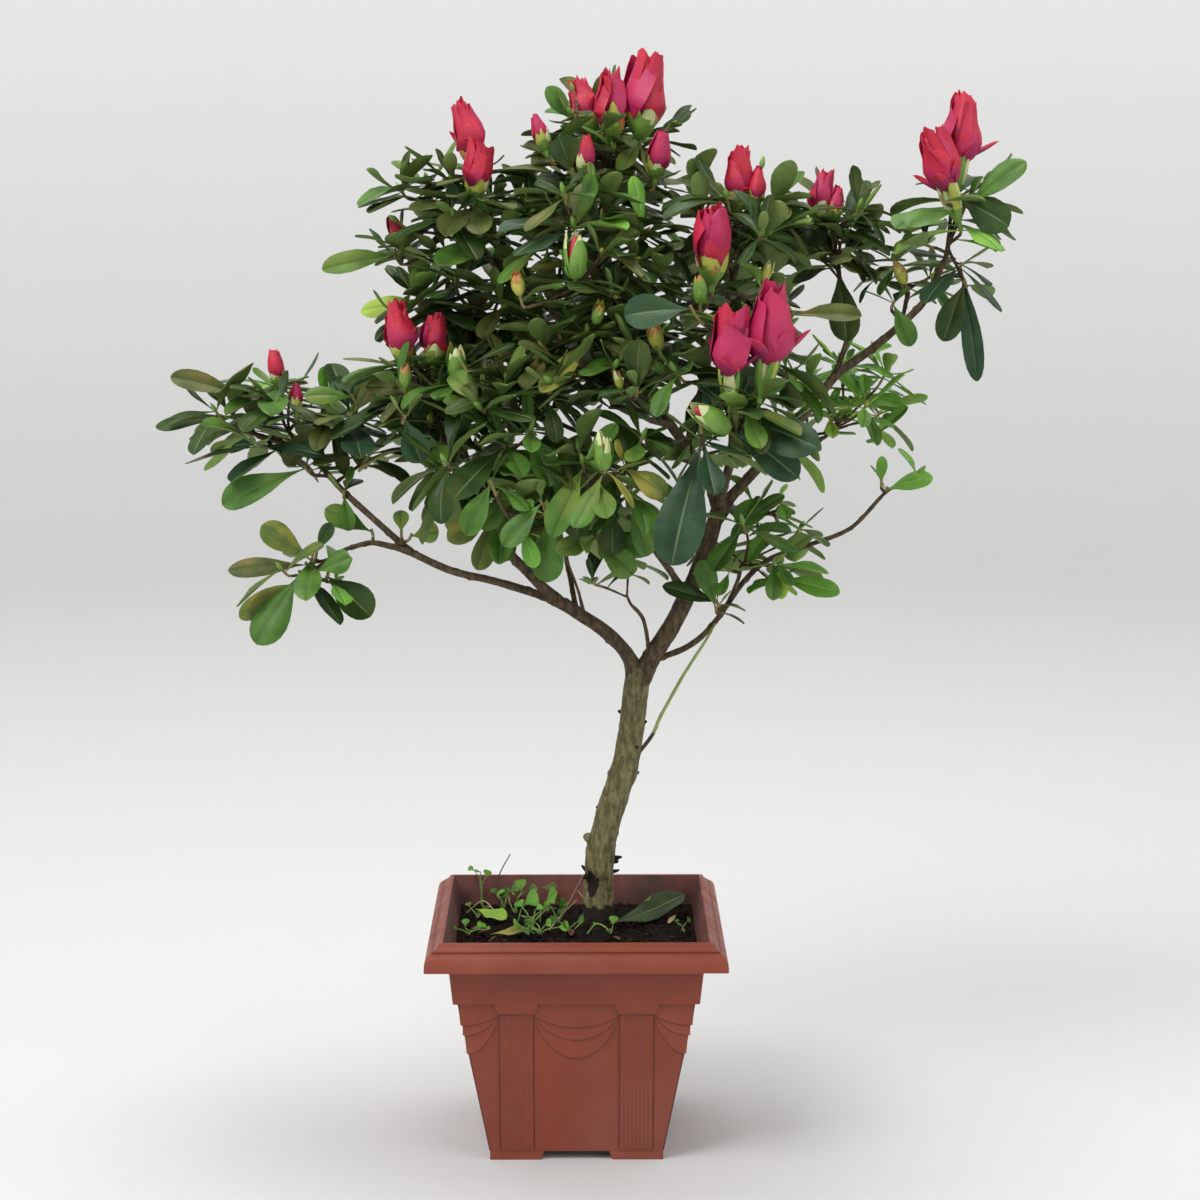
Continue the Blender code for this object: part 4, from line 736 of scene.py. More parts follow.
def mottled(
    name, first, second, scale, contrast, roughness, grain_scale, grain_depth, stretch=(1.0, 1.0, 1.0),
):
    """A material whose colour wanders between two, with a fine grain in its relief."""
    material = plain_material(name, first, roughness)
    tree = material.node_tree
    shader = tree.nodes["Principled BSDF"]
    patches = add_range(tree, add_noise(tree, scale, 5.0, stretch), *contrast)
    tree.links.new(add_mix(tree, patches, first, second), shader.inputs["Base Color"])
    add_bump(tree, shader, add_noise(tree, grain_scale, 3.0, stretch), grain_depth)
    return material


def leaf_material(name, first, second, blotch, share, roughness):
    """A satin leaf whose green wanders between two tones, with soft blotches of a third."""
    material = plain_material(name, first, roughness)
    tree = material.node_tree
    shader = tree.nodes["Principled BSDF"]
    shader.inputs["Specular IOR Level"].default_value = LEAF_SHINE
    wander = add_range(tree, add_noise(tree, 90, 3.0), 0.34, 0.66)
    colour = add_mix(tree, wander, first, second)
    patch = add_range(tree, add_noise(tree, 34, 3.0), 0.52, 0.68, 0.0, share)
    tree.links.new(add_mix(tree, patch, colour, blotch), shader.inputs["Base Color"])
    add_bump(tree, shader, add_noise(tree, 520, 2.0), 0.0002)
    return material


def leaf_materials():
    """One material for each kind of leaf, then the undersides and the midribs."""
    made = []
    for kind, (first, second, blotch, share) in LEAF_TINTS.items():
        # The grey olive kind, whose colour is painted sheen, is a little rougher.
        roughness = 0.5 if kind == "dusty" else 0.42
        made.append(leaf_material("leaf_" + kind, first, second, blotch, share, roughness))
    made.append(leaf_material("leaf_under", *UNDER_TINTS, 0.6))
    made.append(leaf_material("leaf_under_bright", *UNDER_BRIGHT_TINTS, 0.6))
    made.append(plain_material("leaf_rib", tint(86, 106, 64), 0.5))
    made.append(plain_material("leaf_rib_bright", tint(138, 176, 86), 0.5))
    return made


LEAF_PROFILE = np.array((
    (0.0, 0.05), (0.06, 0.06), (0.15, 0.16), (0.27, 0.38), (0.40, 0.68), (0.54, 0.91), (0.67, 1.0),
    (0.79, 0.95), (0.88, 0.80), (0.945, 0.56), (0.98, 0.31), (1.0, 0.04),
))
ROWS = LEAF_PROFILE[:, 0]
COLUMNS = np.array((-1.0, -0.62, -0.05, 0.0, 0.05, 0.62, 1.0))
MID_COLUMN = 3
UNDER_COLUMNS = (1, 3, 5)
RIB_COLUMNS = (2, 3)
LEAF_THICK = 0.0003
UNDER_SINK = 0.08
RIB_SINK = 0.0003


def leaf_faces():
    """The faces of a closed leaf, and which part of it each one is."""
    rows = len(ROWS)
    wide = len(COLUMNS)
    faces = grid_faces(rows, wide)
    parts = ["rib" if face[0] % wide in RIB_COLUMNS else "blade" for face in faces]
    under = rows * wide
    count = len(UNDER_COLUMNS)
    for i in range(rows - 1):
        this = [i * wide, *(under + i * count + k for k in range(count)), i * wide + wide - 1]
        after = [this[0] + wide, *(k + count for k in this[1:-1]), this[-1] + wide]
        for k in range(count + 1):
            faces.append((this[k + 1], this[k], after[k], after[k + 1]))
            parts.append("under")
    for i in (0, rows - 1):
        top = [i * wide + k for k in range(wide)]
        low = [under + i * count + k for k in reversed(range(count))]
        ring = top + low
        faces.append(tuple(reversed(ring)) if i == 0 else tuple(ring))
        parts.append("under")
    return faces, parts


LEAF_FACES, LEAF_PARTS = leaf_faces()


def leaf_points(blade):
    """A leaf's upper side as a grid of points, and its underside just below."""
    direction = np.array(blade.direction)
    upper = np.array(blade.upper)
    side = np.cross(direction, upper)
    places = ROWS**blade.shift
    angle = blade.curl * (places**1.3 - 0.3)
    heading = np.outer(np.cos(angle), direction) - np.outer(np.sin(angle), upper)
    normal = np.outer(np.cos(angle), upper) + np.outer(np.sin(angle), direction)
    steps = np.diff(places)[:, None] * (heading[1:] + heading[:-1]) / 2 * blade.length
    middle = np.array(blade.root) + np.vstack([np.zeros(3), np.cumsum(steps, axis=0)])
    turn = blade.twist * places
    slant = np.cos(turn)[:, None] * side + np.sin(turn)[:, None] * normal
    face = np.cos(turn)[:, None] * normal - np.sin(turn)[:, None] * side
    half = blade.length * blade.round / 2 * LEAF_PROFILE[:, 1]
    s = COLUMNS[None, :]
    ripple = np.sin(places * 9.0 + blade.wave[1])[:, None] * s**2 * blade.wave[0]
    lift = (blade.fold * np.abs(s) - blade.cup * s**2 + ripple) * half[:, None]
    lift = lift - RIB_SINK * (s == 0)
    top = middle[:, None, :] + slant[:, None, :] * (s * half[:, None])[..., None]
    top = top + face[:, None, :] * lift[..., None]
    thick = LEAF_THICK + UNDER_SINK * half
    low = top[:, UNDER_COLUMNS, :] - face[:, None, :] * thick[:, None, None]
    return top, low


def add_leaf(builder, top, low, kind):
    """Adds a leaf of one kind to the builder."""
    bright = kind in BRIGHT_KINDS
    places = {
        "blade": LEAF_KINDS.index(kind),
        "rib": RIB_BRIGHT if bright else RIB,
        "under": UNDER_BRIGHT if bright else UNDER,
    }
    points = np.vstack([top.reshape(-1, 3), low.reshape(-1, 3)])
    builder.add(points.tolist(), LEAF_FACES, [places[part] for part in LEAF_PARTS])


GUARD_ROWS = (3, 5, 7, 9)
GUARD_COLUMNS = (0, 3, 6)
GUARD_FACES = grid_faces(len(GUARD_ROWS), len(GUARD_COLUMNS))


VIEW_WAY = np.array((0.0, 0.987, -0.16))
VIEW_REACH = 0.08


class Space:
    """What already stands in the tree's space: trees of faces, each with its owner and a ball round it."""

    def __init__(self):
        self.owners = []
        self.centres = np.zeros((8192, 3))
        self.radii = np.zeros(8192)
        self.trees = []
        self.blossom = []

    def add(self, owner, vertices, faces):
        points = np.array([tuple(v) for v in vertices])
        centre = points.mean(axis=0)
        index = len(self.trees)
        self.centres[index] = centre
        self.radii[index] = np.linalg.norm(points - centre, axis=1).max()
        self.owners.append(owner)
        self.trees.append(BVHTree.FromPolygons(points.tolist(), faces))

    def add_blossom(self, base, axis, height, radius):
        self.blossom.append((np.array(base), np.array(axis), height, radius))

    def hides_blossom(self, points, in_view):
        """Whether any of the points lies inside a flower or a bud, or hides one from the camera."""
        for base, axis, height, radius in self.blossom:
            away = points - base
            rise = away @ axis
            out = np.linalg.norm(away - np.outer(rise, axis), axis=1)
            if np.any((rise > -0.001) & (rise < height * 1.05) & (out < radius)):
                return True
            depth = away @ VIEW_WAY
            flat = away - np.outer(depth, VIEW_WAY)
            rise = flat @ axis
            out = np.linalg.norm(flat - np.outer(rise, axis), axis=1)
            before = (depth < 0) & (depth > -VIEW_REACH)
            if in_view and np.any(before & (rise > height * 0.2) & (rise < height) & (out < radius * 0.7)):
                return True
        return False

    def is_free(self, owners, vertices, faces):
        """Whether a shape misses all that others than its own owners hold."""
        points = np.array([tuple(v) for v in vertices])
        centre = points.mean(axis=0)
        radius = np.linalg.norm(points - centre, axis=1).max()
        held = len(self.trees)
        away = np.linalg.norm(self.centres[:held] - centre, axis=1)
        own = None
        for index in np.nonzero(away < self.radii[:held] + radius)[0]:
            if self.owners[index] in owners:
                continue
            own = own or BVHTree.FromPolygons(points.tolist(), faces)
            if own.overlap(self.trees[index]):
                return False
        return True


def limb_chain(limb, chains):
    """The middle line of a limb, from inside its parent to its tip."""
    start = along(chains[limb.parent], limb.share)
    return smooth([start, *limb.route], 2 if len(limb.route) < 4 else 1)


def make_chains():
    """The middle line of the trunk and of every bough."""
    chains = {"trunk": smooth(TRUNK_ROUTE, 3)}
    for limb in LIMBS:
        chains[limb.name] = limb_chain(limb, chains)
    return chains


def bough_of(mass):
    """The name of the bough that carries a mass."""
    return BOUGHS.get(mass.name, mass.name + "_bough")


def inside(mass, point, grown=1.0):
    """Whether a point lies in the mass's egg-shaped space."""
    away = [(point[k] - mass.centre[k]) / (mass.reach[k] * grown) for k in range(3)]
    return sum(a * a for a in away) <= 1


def of_mass(things, mass):
    """Those of the flowers, leaves or extras that a mass carries, in their order."""
    return [thing for thing in things if thing.mass == mass.name]


def axis_of(flower):
    """The way that a flower, a bud or an added shoot points."""
    return Vector((*flower.lean, 1.0)).normalized()


def aimed_shoot(leaf, size, kind):
    """The shoot that carries one leaf of its own place."""
    root = Vector(leaf.root)
    aim = Vector(leaf.tip)
    axis = ((aim - root).normalized() * LONG_LEAF_LEAN + UP).normalized()
    return Shoot(root - axis * BUD_LENGTH, axis, size, aim, kind, leaf.look, leaf.round)


def plain_shoot(tip, axis, size, kind):
    """A shoot that only the rule's leaves stand round."""
    return Shoot(tip, axis, size, None, kind, None, None)


def shell_direction(index, count, rng):
    """Directions spread evenly over a ball, fewer of them downwards."""
    height = 1 - (2 * index + 1) / count
    height = LEAST_HEIGHT + height * (UPPER_SPREAD if height > 0 else LOWER_SPREAD)
    turn = index * GOLDEN + rng.uniform(-LOOSE_TURN, LOOSE_TURN)
    flat = math.sqrt(max(1 - height**2, 0.0))
    return Vector((flat * math.cos(turn), flat * math.sin(turn), height))


def stalk_of(flower):
    """How far a flower's foot stands above its shoot."""
    return STALKS_OF.get(flower.mass, SMALL_STALK if flower.height < SMALL_FLOWER else STALK)


def mass_shoots(mass):
    """The shoots of a mass: those that carry its flowers, then those spread by the rule."""
    rng = random.Random(mass.name)
    centre = Vector(mass.centre)
    shoots = []
    for flower in of_mass(FLOWERS, mass):
        axis = axis_of(flower)
        base = Vector(flower.centre) - axis * flower.height / 2
        shoots.append(plain_shoot(base - axis * stalk_of(flower), axis, FLOWER_SHOOT, "flower"))
    shoots += [aimed_shoot(leaf, LONG_LEAF_SHOOT, "leafy") for leaf in of_mass(LONG_LEAVES, mass)]
    first_turn = rng.uniform(0, 2 * math.pi)
    for index in range(mass.shoots):
        direction = shell_direction(index, mass.shoots, rng)
        direction.rotate(Matrix.Rotation(first_turn, 3, "Z"))
        room = [max(reach - ROOM_LEFT * mass.leaf, LEAST_ROOM * reach) for reach in mass.reach]
        tip = centre + Vector([direction[k] * room[k] for k in range(3)])
        axis = (direction * SHOOT_SPREAD + UP * SHOOT_RISE).normalized()
        shoots.append(plain_shoot(tip, axis, 1.0, "leafy"))
    return shoots


def twig_route(start, heading, tip, axis, bow):
    """A twig's middle line: it leaves along its heading and arrives along its shoot's axis."""
    reach = (tip - start).length
    first = start + (heading * TWIG_SWEEP + across(heading) * bow) * reach
    last = tip - axis * reach * TWIG_SWEEP
    points = []
    spans = 3 if reach > LONG_TWIG else 2
    for i in range(spans + 1):
        back = (1 - i / spans) ** TIP_CROWDING
        t = 1 - back
        points.append(start * back**3 + 3 * first * t * back**2 + 3 * last * t**2 * back + tip * t**3)
    return points


def ring_side(route, axis):
    """The direction from a twig's middle line to the first corner of its bud."""
    directions = tangents(route)
    side = across(directions[0])
    for direction in directions:
        side = across(direction, side)
    return across(axis, side)


def grow_twig(owners, shoot, start, heading, start_radius, space):
    """The first route to a shoot that finds room, or none; owners names what it branches from."""
    for bow in TWIG_BOWS:
        route = twig_route(start, heading, shoot.tip, shoot.axis, bow)
        radii = taper(route, start_radius, TWIG_RADIUS)
        bud_end = shoot.tip + shoot.axis * 2 * BUD_LENGTH
        if space.is_free(owners, *tube([*route, bud_end], [*radii, BUD_RADIUS], 3, ROOM)):
            return Twig(shoot, route, radii, ring_side(route, shoot.axis))
    return None


def grow_stems(mass, chain, tip_radius, space):
    """The stem of a mass, and for each shoot that finds room its twig."""
    heading = (chain[-1] - chain[-2]).normalized()
    foot = chain[-1] + heading * GAP
    to_centre = Vector(mass.centre) - foot
    bend = foot + heading * to_centre.length * STEM_BEND
    heart = bend + to_centre * STEM_END
    stem = [foot, bend, heart]
    onward = (heart - bend).normalized()
    twigs = []
    for shoot in mass_shoots(mass):
        start = heart - onward * TWIG_STEP * (len(twigs) + 1)
        twig = grow_twig((mass.name,), shoot, start, onward, tip_radius * TWIG_SHARE, space)
        if twig:
            twigs.append(twig)
    return stem, twigs


def nearest_start(routes, tip):
    """A place to branch from towards a tip: the nearest on a route that lies below it, and its owner."""
    best = None
    for owner, route in routes:
        for i in range(2, len(route) - 2):
            gap = tip - route[i]
            cost = gap.length * (1.0 if gap.z > 0 else 1.6)
            if best is None or cost < best[0]:
                best = (cost, route[i], (route[i + 1] - route[i - 1]).normalized(), owner)
    return best[1], (best[2] + (tip - best[1]).normalized()).normalized(), best[3]


REACH_GROWN = 1.03
FILL_CANDIDATES = 160
FILL_ROOM = 0.74
FILL_APART = 0.0145


def fill_shoots(mass, twigs, others):
    """Small shoots in the room that the rule's shoots leave open, well apart from all the others."""
    rng = random.Random(mass.name + " fill")
    tips = [twig.shoot.tip for twig in twigs] + others
    shoots = []
    for _ in range(FILL_CANDIDATES):
        if len(shoots) == mass.fill:
            break
        way = Vector([rng.gauss(0, 1) for _ in range(3)]).normalized() * rng.uniform(0.3, FILL_ROOM)
        tip = Vector([mass.centre[k] + way[k] * mass.reach[k] for k in range(3)])
        if min((tip - other).length for other in tips) < FILL_APART:
            continue
        tips.append(tip)
        axis = (way.normalized() * SHOOT_SPREAD + UP * SHOOT_RISE).normalized()
        shoots.append(plain_shoot(tip, axis, FILL_SHOOT, "small"))
    return shoots


def extra_shoots(mass):
    """The shoots that the looks add: under buds and small flowers, spare ones, and those of single leaves."""
    shoots = []
    for extra in of_mass(EXTRAS, mass):
        axis = axis_of(extra)
        tip = Vector(extra.base) - axis * (SMALL_STALK if extra.kind == "flower" else BUD_LENGTH)
        if extra.kind == "shoot":
            shoots.append(plain_shoot(tip, axis, extra.height, "spare"))
        else:
            shoots.append(plain_shoot(tip, axis, EXTRA_SHOOT, "flower"))
    return shoots + [aimed_shoot(leaf, SINGLE_SHOOT, "small") for leaf in of_mass(SINGLE_LEAVES, mass)]


def pick_kind(look, shoot_kind, rng):
    """A kind of leaf by the weights of its mass; the small shoots inside an upper or open crown take darker
    kinds, painted shade of the crown's heart.
    """
    kinds = HEART_SHADE_LOOK if shoot_kind == "small" and look in ("upper", "open") else LOOKS[look]
    return rng.choices(list(kinds), weights=list(kinds.values()))[0]


OUTER_ORDER = (0, 4, 2, 3, 1, 5)
OUTER_TURN = 0.25
OUTER_TILT = 9
UPPER_FROM = 3
LEAF_OUT = 0.0009
LEAF_RISES = {"aimed": 0.002, "lower": 0.0005, "upper": 0.003, "inner": 0.004}
AIMED_FACE = Vector((-0.1, -0.8, 0.55))
AIMED_REACH = 1.04
AIMED_CLEAR = 0.3
INNER_TILTS = (26, 48)
INNER_SIZES = (0.48, 0.68)
FLOWER_TILT = 76
FLOWER_INNER = 2
FLOWER_INNER_TILTS = (52, 64)
FLOWER_INNER_SIZES = (0.38, 0.5)
FLOWER_CLEAR = 1.3
BEFORE_FLOWER = -0.3
STEM_LEAF_STEP = 0.0065
STEM_LEAF_END = 0.6
STEM_TILTS = (72, 98)
STEM_SIZES = (0.6, 0.85)
STEM_DROOP = 0.05


def spray_leaves(mass, twig, sizes, rng):
    """The leaves of one shoot, outer ones first: part, root, direction, upper side and length of each."""
    shoot = twig.shoot
    axis = (shoot.axis + UP * STYLES[mass.look].lift).normalized()
    side = across(axis, twig.side)
    third = axis.cross(side)

    def outward(angle):
        return side * math.cos(angle) + third * math.sin(angle)

    if shoot.aim is not None:
        root = shoot.tip + shoot.axis * LEAF_RISES["aimed"]
        direction = (shoot.aim - root).normalized()
        yield "aimed", root, direction, across(direction, AIMED_FACE), (shoot.aim - root).length * AIMED_REACH
    yield from outer_leaves(mass, shoot, axis, outward, sizes, rng)
    yield from inner_leaves(mass, shoot, axis, outward, rng)
    yield from stem_leaves(mass, twig, axis, outward, rng)


def outer_leaves(mass, shoot, axis, outward, sizes, rng):
    """Up to six leaves spread round the shoot: three that stand out, and three above between them."""
    style = STYLES[mass.look]
    in_flower = shoot.kind == "flower"
    count = style.beside if shoot.aim is not None and shoot.kind == "small" else style.outer
    for number in OUTER_ORDER[:count]:
        length = mass.leaf * shoot.leaf_size * sizes.uniform(*LEAF_SIZES)
        out = outward(face_angle(number) + rng.uniform(-OUTER_TURN, OUTER_TURN))
        if shoot.aim is not None and out.dot((shoot.aim - shoot.tip).normalized()) > AIMED_CLEAR:
            continue
        upper_three = number >= UPPER_FROM
        tilt = (FLOWER_TILT if in_flower else style.tilt) if upper_three else LOWER_TILT
        if in_flower and out.y < BEFORE_FLOWER:
            tilt = LOWER_TILT
        droop = mass.droop * (UPPER_DROOP if upper_three else 1)
        tilt += rng.uniform(-OUTER_TILT, OUTER_TILT)
        direction, upper = leaf_pose(axis, out, tilt, droop, style.face)
        root = shoot.tip + out * LEAF_OUT + shoot.axis * LEAF_RISES["upper" if upper_three else "lower"]
        yield "outer", root, direction, upper, length


def inner_leaves(mass, shoot, axis, outward, rng):
    """The small upright leaves in the middle of a shoot, fewer and wider apart under a flower."""
    style = STYLES[mass.look]
    in_flower = shoot.kind == "flower"
    for k in range(min(FLOWER_INNER, style.inner) if in_flower else style.inner):
        out = outward(face_angle(0) + k * GOLDEN + 0.5)
        if in_flower and out.y < BEFORE_FLOWER:
            continue
        tilt = rng.uniform(*(FLOWER_INNER_TILTS if in_flower else INNER_TILTS))
        direction, upper = leaf_pose(axis, out, tilt, 0.0, style.face)
        root = shoot.tip + out * LEAF_OUT + shoot.axis * LEAF_RISES["inner"]
        size = rng.uniform(*(FLOWER_INNER_SIZES if in_flower else INNER_SIZES))
        yield "inner", root, direction, upper, mass.leaf * shoot.leaf_size * size


def stem_leaves(mass, twig, axis, outward, rng):
    """The leaves that stand along a twig, below its shoot."""
    shoot = twig.shoot
    style = STYLES[mass.look]
    route = smooth(twig.route, 4)
    length = sum((b - a).length for a, b in zip(route, route[1:]))
    for k in range(style.stem):
        back = (k + 1) * STEM_LEAF_STEP
        if back > length * STEM_LEAF_END or (shoot.kind == "small" and k):
            break
        point = along(route, 1 - back / length)
        out = outward(face_angle(1) + (k + 2) * GOLDEN)
        tilt = rng.uniform(*STEM_TILTS)
        direction, upper = leaf_pose(axis, out, tilt, mass.droop + STEM_DROOP, style.face)
        yield "stem", point, direction, upper, mass.leaf * shoot.leaf_size * rng.uniform(*STEM_SIZES)


def face_angle(number):
    """Where a leaf stands round its shoot: the lower three, and between them the upper three."""
    k = number % 3
    return math.radians(60 + 120 * k) if number < 3 else math.radians(120 * (k + 1))


def leaf_pose(axis, outward, tilt, droop, face_up):
    """Which way a leaf and its upper side point."""
    tilt = math.radians(tilt)
    direction = axis * math.cos(tilt) + outward * math.sin(tilt) - UP * droop
    upper = axis * math.sin(tilt) - outward * math.cos(tilt)
    upper += UP * face_up + outward * droop * FACE_OUT
    return direction.normalized(), upper.normalized()


LEAF_CURLS = {"inner": (-0.6, 0.3), "aimed": (0.25, 0.6)}
LEAF_TWIST = 0.4
AIMED_TWIST = 0.2
AIMED_LIFT = 0.22
LEAF_WIDTHS = (0.86, 0.95, 1.05, 1.18)
LEAF_FOLDS = (0.05, 0.35)
LEAF_CUPS = (-0.15, 0.3)
LEAF_WAVE = 0.14
LEAF_SHIFTS = (0.85, 1.2)


def make_blade(part, style, root, direction, upper, length, width, rng):
    """A leaf's form: most arch a little, the inner ones cup towards their bud."""
    side = upper.cross(direction).normalized()
    upper = direction.cross(side)
    curl = rng.uniform(*style.curl)
    twist = rng.uniform(-LEAF_TWIST, LEAF_TWIST)
    if part in LEAF_CURLS:
        curl = rng.uniform(*LEAF_CURLS[part])
    if part == "aimed":
        twist = rng.uniform(-AIMED_TWIST, AIMED_TWIST)
        direction = (direction + upper * curl * AIMED_LIFT).normalized()
        upper = direction.cross(side)
    width = width or style.width * rng.choice(LEAF_WIDTHS)
    fold = rng.uniform(*LEAF_FOLDS)
    cup = rng.uniform(*LEAF_CUPS)
    wave = (rng.uniform(0.0, LEAF_WAVE), rng.uniform(0, 6.28))
    shift = rng.uniform(*LEAF_SHIFTS)
    return Blade(root, direction, upper, length, width, shift, curl, fold, cup, wave, twist)


def plan_leaves(mass, twigs):
    """The leaves that a mass's twigs ask for."""
    sizes = random.Random(mass.name + " leaves")
    rng = random.Random(mass.name + " looks")
    plans = []
    for index, twig in enumerate(twigs):
        shoot = twig.shoot
        look = shoot.look or pick_kind(mass.look, shoot.kind, rng)
        for part, root, direction, upper, length in spray_leaves(mass, twig, sizes, rng):
            kind = look
            if part != "aimed" and rng.random() > OWN_LOOK:
                kind = pick_kind(mass.look, shoot.kind, rng)
            # Inner leaves less often take the grey olive kind's painted sheen.
            if part == "inner" and kind == "dusty":
                kind = "mid" if rng.random() < 0.4 else kind
            width = shoot.round if part == "aimed" else None
            blade = make_blade(part, STYLES[mass.look], root, direction, upper, length, width, rng)
            plans.append(Plan(mass.name + str(index), mass, shoot, part, blade, kind))
    return plans


def place_leaf(plan, space, builder):
    """Adds a planned leaf in the first pose that touches no other and stays in the mass's space."""
    for share, lift, turn in LEAF_TRIES:
        way = Matrix.Rotation(math.radians(turn), 3, plan.shoot.axis) @ plan.blade.direction
        way = (way + UP * lift).normalized()
        side = plan.blade.upper.cross(way).normalized()
        blade = plan.blade._replace(direction=way, upper=way.cross(side), length=plan.blade.length * share)
        top, low = leaf_points(blade)
        guard = top[np.ix_(GUARD_ROWS, GUARD_COLUMNS)].reshape(-1, 3)
        aimed = plan.part == "aimed"
        free = aimed or plan.shoot.kind == "spare" or inside(plan.mass, top[-1, MID_COLUMN], REACH_GROWN)
        hidden = space.hides_blossom(top.reshape(-1, 3), not aimed)
        if free and not hidden and space.is_free((plan.owner,), guard, GUARD_FACES):
            add_leaf(builder, top, low, plan.kind)
            space.add(plan.owner + " aimed" * aimed, guard, GUARD_FACES)
            break


TWIG_BROWN = 0
TWIG_GREEN = 1
TWIG_SIDES = 7


def add_twig(builder, twig):
    """A twig as a smooth tube, green towards its shoot."""
    route = smooth(twig.route, 6)
    end = twig.shoot.tip + twig.shoot.axis * BUD_LENGTH
    route.append(end)
    radii = taper(route, twig.radii[0], TWIG_RADIUS * 0.85)
    for i in range(len(radii)):
        radii[i] *= 1 + 0.12 * math.sin(i * 2.1)
    vertices, faces = tube(route, radii, TWIG_SIDES)
    green_from = (len(route) - 1) * 0.62
    slots = [TWIG_GREEN if i // TWIG_SIDES > green_from else TWIG_BROWN for i in range(len(faces) - 2)]
    builder.add(vertices, faces, [*slots, TWIG_BROWN, TWIG_GREEN])


PETAL_ROWS = 12
PETAL_COLUMNS = 13
PROFILES = (
    ((0.0, 0.14), (0.08, 0.40), (0.20, 0.74), (0.42, 1.0), (0.62, 0.88), (0.82, 0.64), (1.0, 0.52)),
    ((0.0, 0.14), (0.08, 0.38), (0.22, 0.70), (0.46, 0.96), (0.70, 1.0), (0.88, 0.84), (1.0, 0.72)),
    ((0.0, 0.14), (0.08, 0.38), (0.22, 0.74), (0.44, 1.0), (0.66, 0.90), (0.84, 0.76), (1.0, 0.68)),
)
SLIM_PROFILE = ((0.0, 0.2), (0.08, 0.6), (0.2, 0.9), (0.38, 1.0), (0.65, 0.82), (0.86, 0.56), (1.0, 0.4))
PETAL_THICK = 0.00025

RED = 0
ROSE = 1
DEEP = 2
MAGENTA = 3


def profile_at(profile, t):
    """A reading of a profile at a share of its height."""
    return float(np.interp(t, [p[0] for p in profile], [p[1] for p in profile]))


def petal_sheet(base, axis, height, radius, turn, spread, profile, form, rng):
    """One petal wrapped round the flower's axis, as a closed thin sheet.

    form holds how pointed and how ragged the petal is, how its outer edge rolls back, and how far
    it winds round the flower on its way up."""
    pointed, ragged, roll, skew = form
    side = across(axis)
    third = axis.cross(side)
    phases = [rng.uniform(0, 6.28) for _ in range(4)]
    points = []
    for i in range(PETAL_ROWS):
        t = i / (PETAL_ROWS - 1)
        reach = 0.42 + 0.58 * math.sin(math.pi * min(t / 0.5, 1) / 2)
        for k in range(PETAL_COLUMNS):
            s = 2 * k / (PETAL_COLUMNS - 1) - 1
            teeth = 0.65 * math.sin(3.4 * s + phases[0]) + 0.35 * math.sin(9 * s + phases[1])
            angle = turn + s * spread / 2 * reach + skew * t + ragged * math.sin(5 * t + phases[2]) * s
            out = profile_at(profile, t) + 0.13 * s * (1 - 0.3 * t)
            out += ragged * t * (1.4 * math.sin(2.6 * s + 4.5 * t + phases[3]) + t * t * teeth)
            out += roll * t**1.5 * max(s, 0) ** 4
            rise = t * (1 - pointed * abs(s) ** 2.5 * t + ragged * teeth * t)
            outward = side * math.cos(angle) + third * math.sin(angle)
            points.append((base + axis * height * rise + outward * radius * out, outward))
    return close_sheet(points, PETAL_ROWS, PETAL_COLUMNS, PETAL_THICK)


def close_sheet(points, rows, columns, thick):
    """A closed body from a grid of (point, outward) pairs, so thick inwards."""
    outer = [p for p, _ in points]
    inner = [p - o * thick for p, o in points]
    count = rows * columns
    faces = []
    for face in grid_faces(rows, columns):
        faces.append(face)
        faces.append(tuple(count + k for k in reversed(face)))
    for a, b in ends_of(grid_edge(rows, columns)):
        faces.append((b, a, count + a, count + b))
    return outer + inner, faces


def streaked(faces, rows, columns, bands, rng):
    """A place for each face of a sheet: bands of (share of the height, place) with uneven upper edges."""
    wander = [rng.uniform(-0.08, 0.08) for _ in range(columns)]
    slots = []
    for face in faces:
        row, column = divmod(min(face) % (rows * columns), columns)
        height = row / (rows - 1) + wander[column]
        slots.append(next(place for share, place in bands if height <= share))
    return slots


def whorl(builder, base, axis, height, radius, first, count, spread, profile, form, bands, rng):
    """So many petals or scales round one axis, each with its own height and lean."""
    for k in range(count):
        way = Vector((rng.uniform(-1, 1), rng.uniform(-1, 1), 0.1))
        lean = (axis + across(axis, way) * 0.06).normalized()
        tall = height * rng.uniform(0.84, 1.0)
        turn = first + 2 * math.pi * k / count + rng.uniform(-0.2, 0.2)
        sheet = petal_sheet(base, lean, tall, radius, turn, spread, profile, form, rng)
        builder.add(*sheet, streaked(sheet[1], PETAL_ROWS, PETAL_COLUMNS, rng.choice(bands), rng))


def lower_part(profile, share):
    """The lower share of a profile, drawn out to a whole one."""
    return [(t, profile_at(profile, t * share)) for t in (0.0, 0.15, 0.4, 0.7, 1.0)]


def around(axis, angle):
    """The direction square to an axis at an angle round it."""
    side = across(axis)
    return side * math.cos(angle) + axis.cross(side) * math.sin(angle)


def leaned(axis, outward, tilt):
    """The direction that leans out from an axis by so many degrees, and the side that faces the axis."""
    tilt = math.radians(tilt)
    return axis * math.cos(tilt) + outward * math.sin(tilt), axis * math.sin(tilt) - outward * math.cos(tilt)


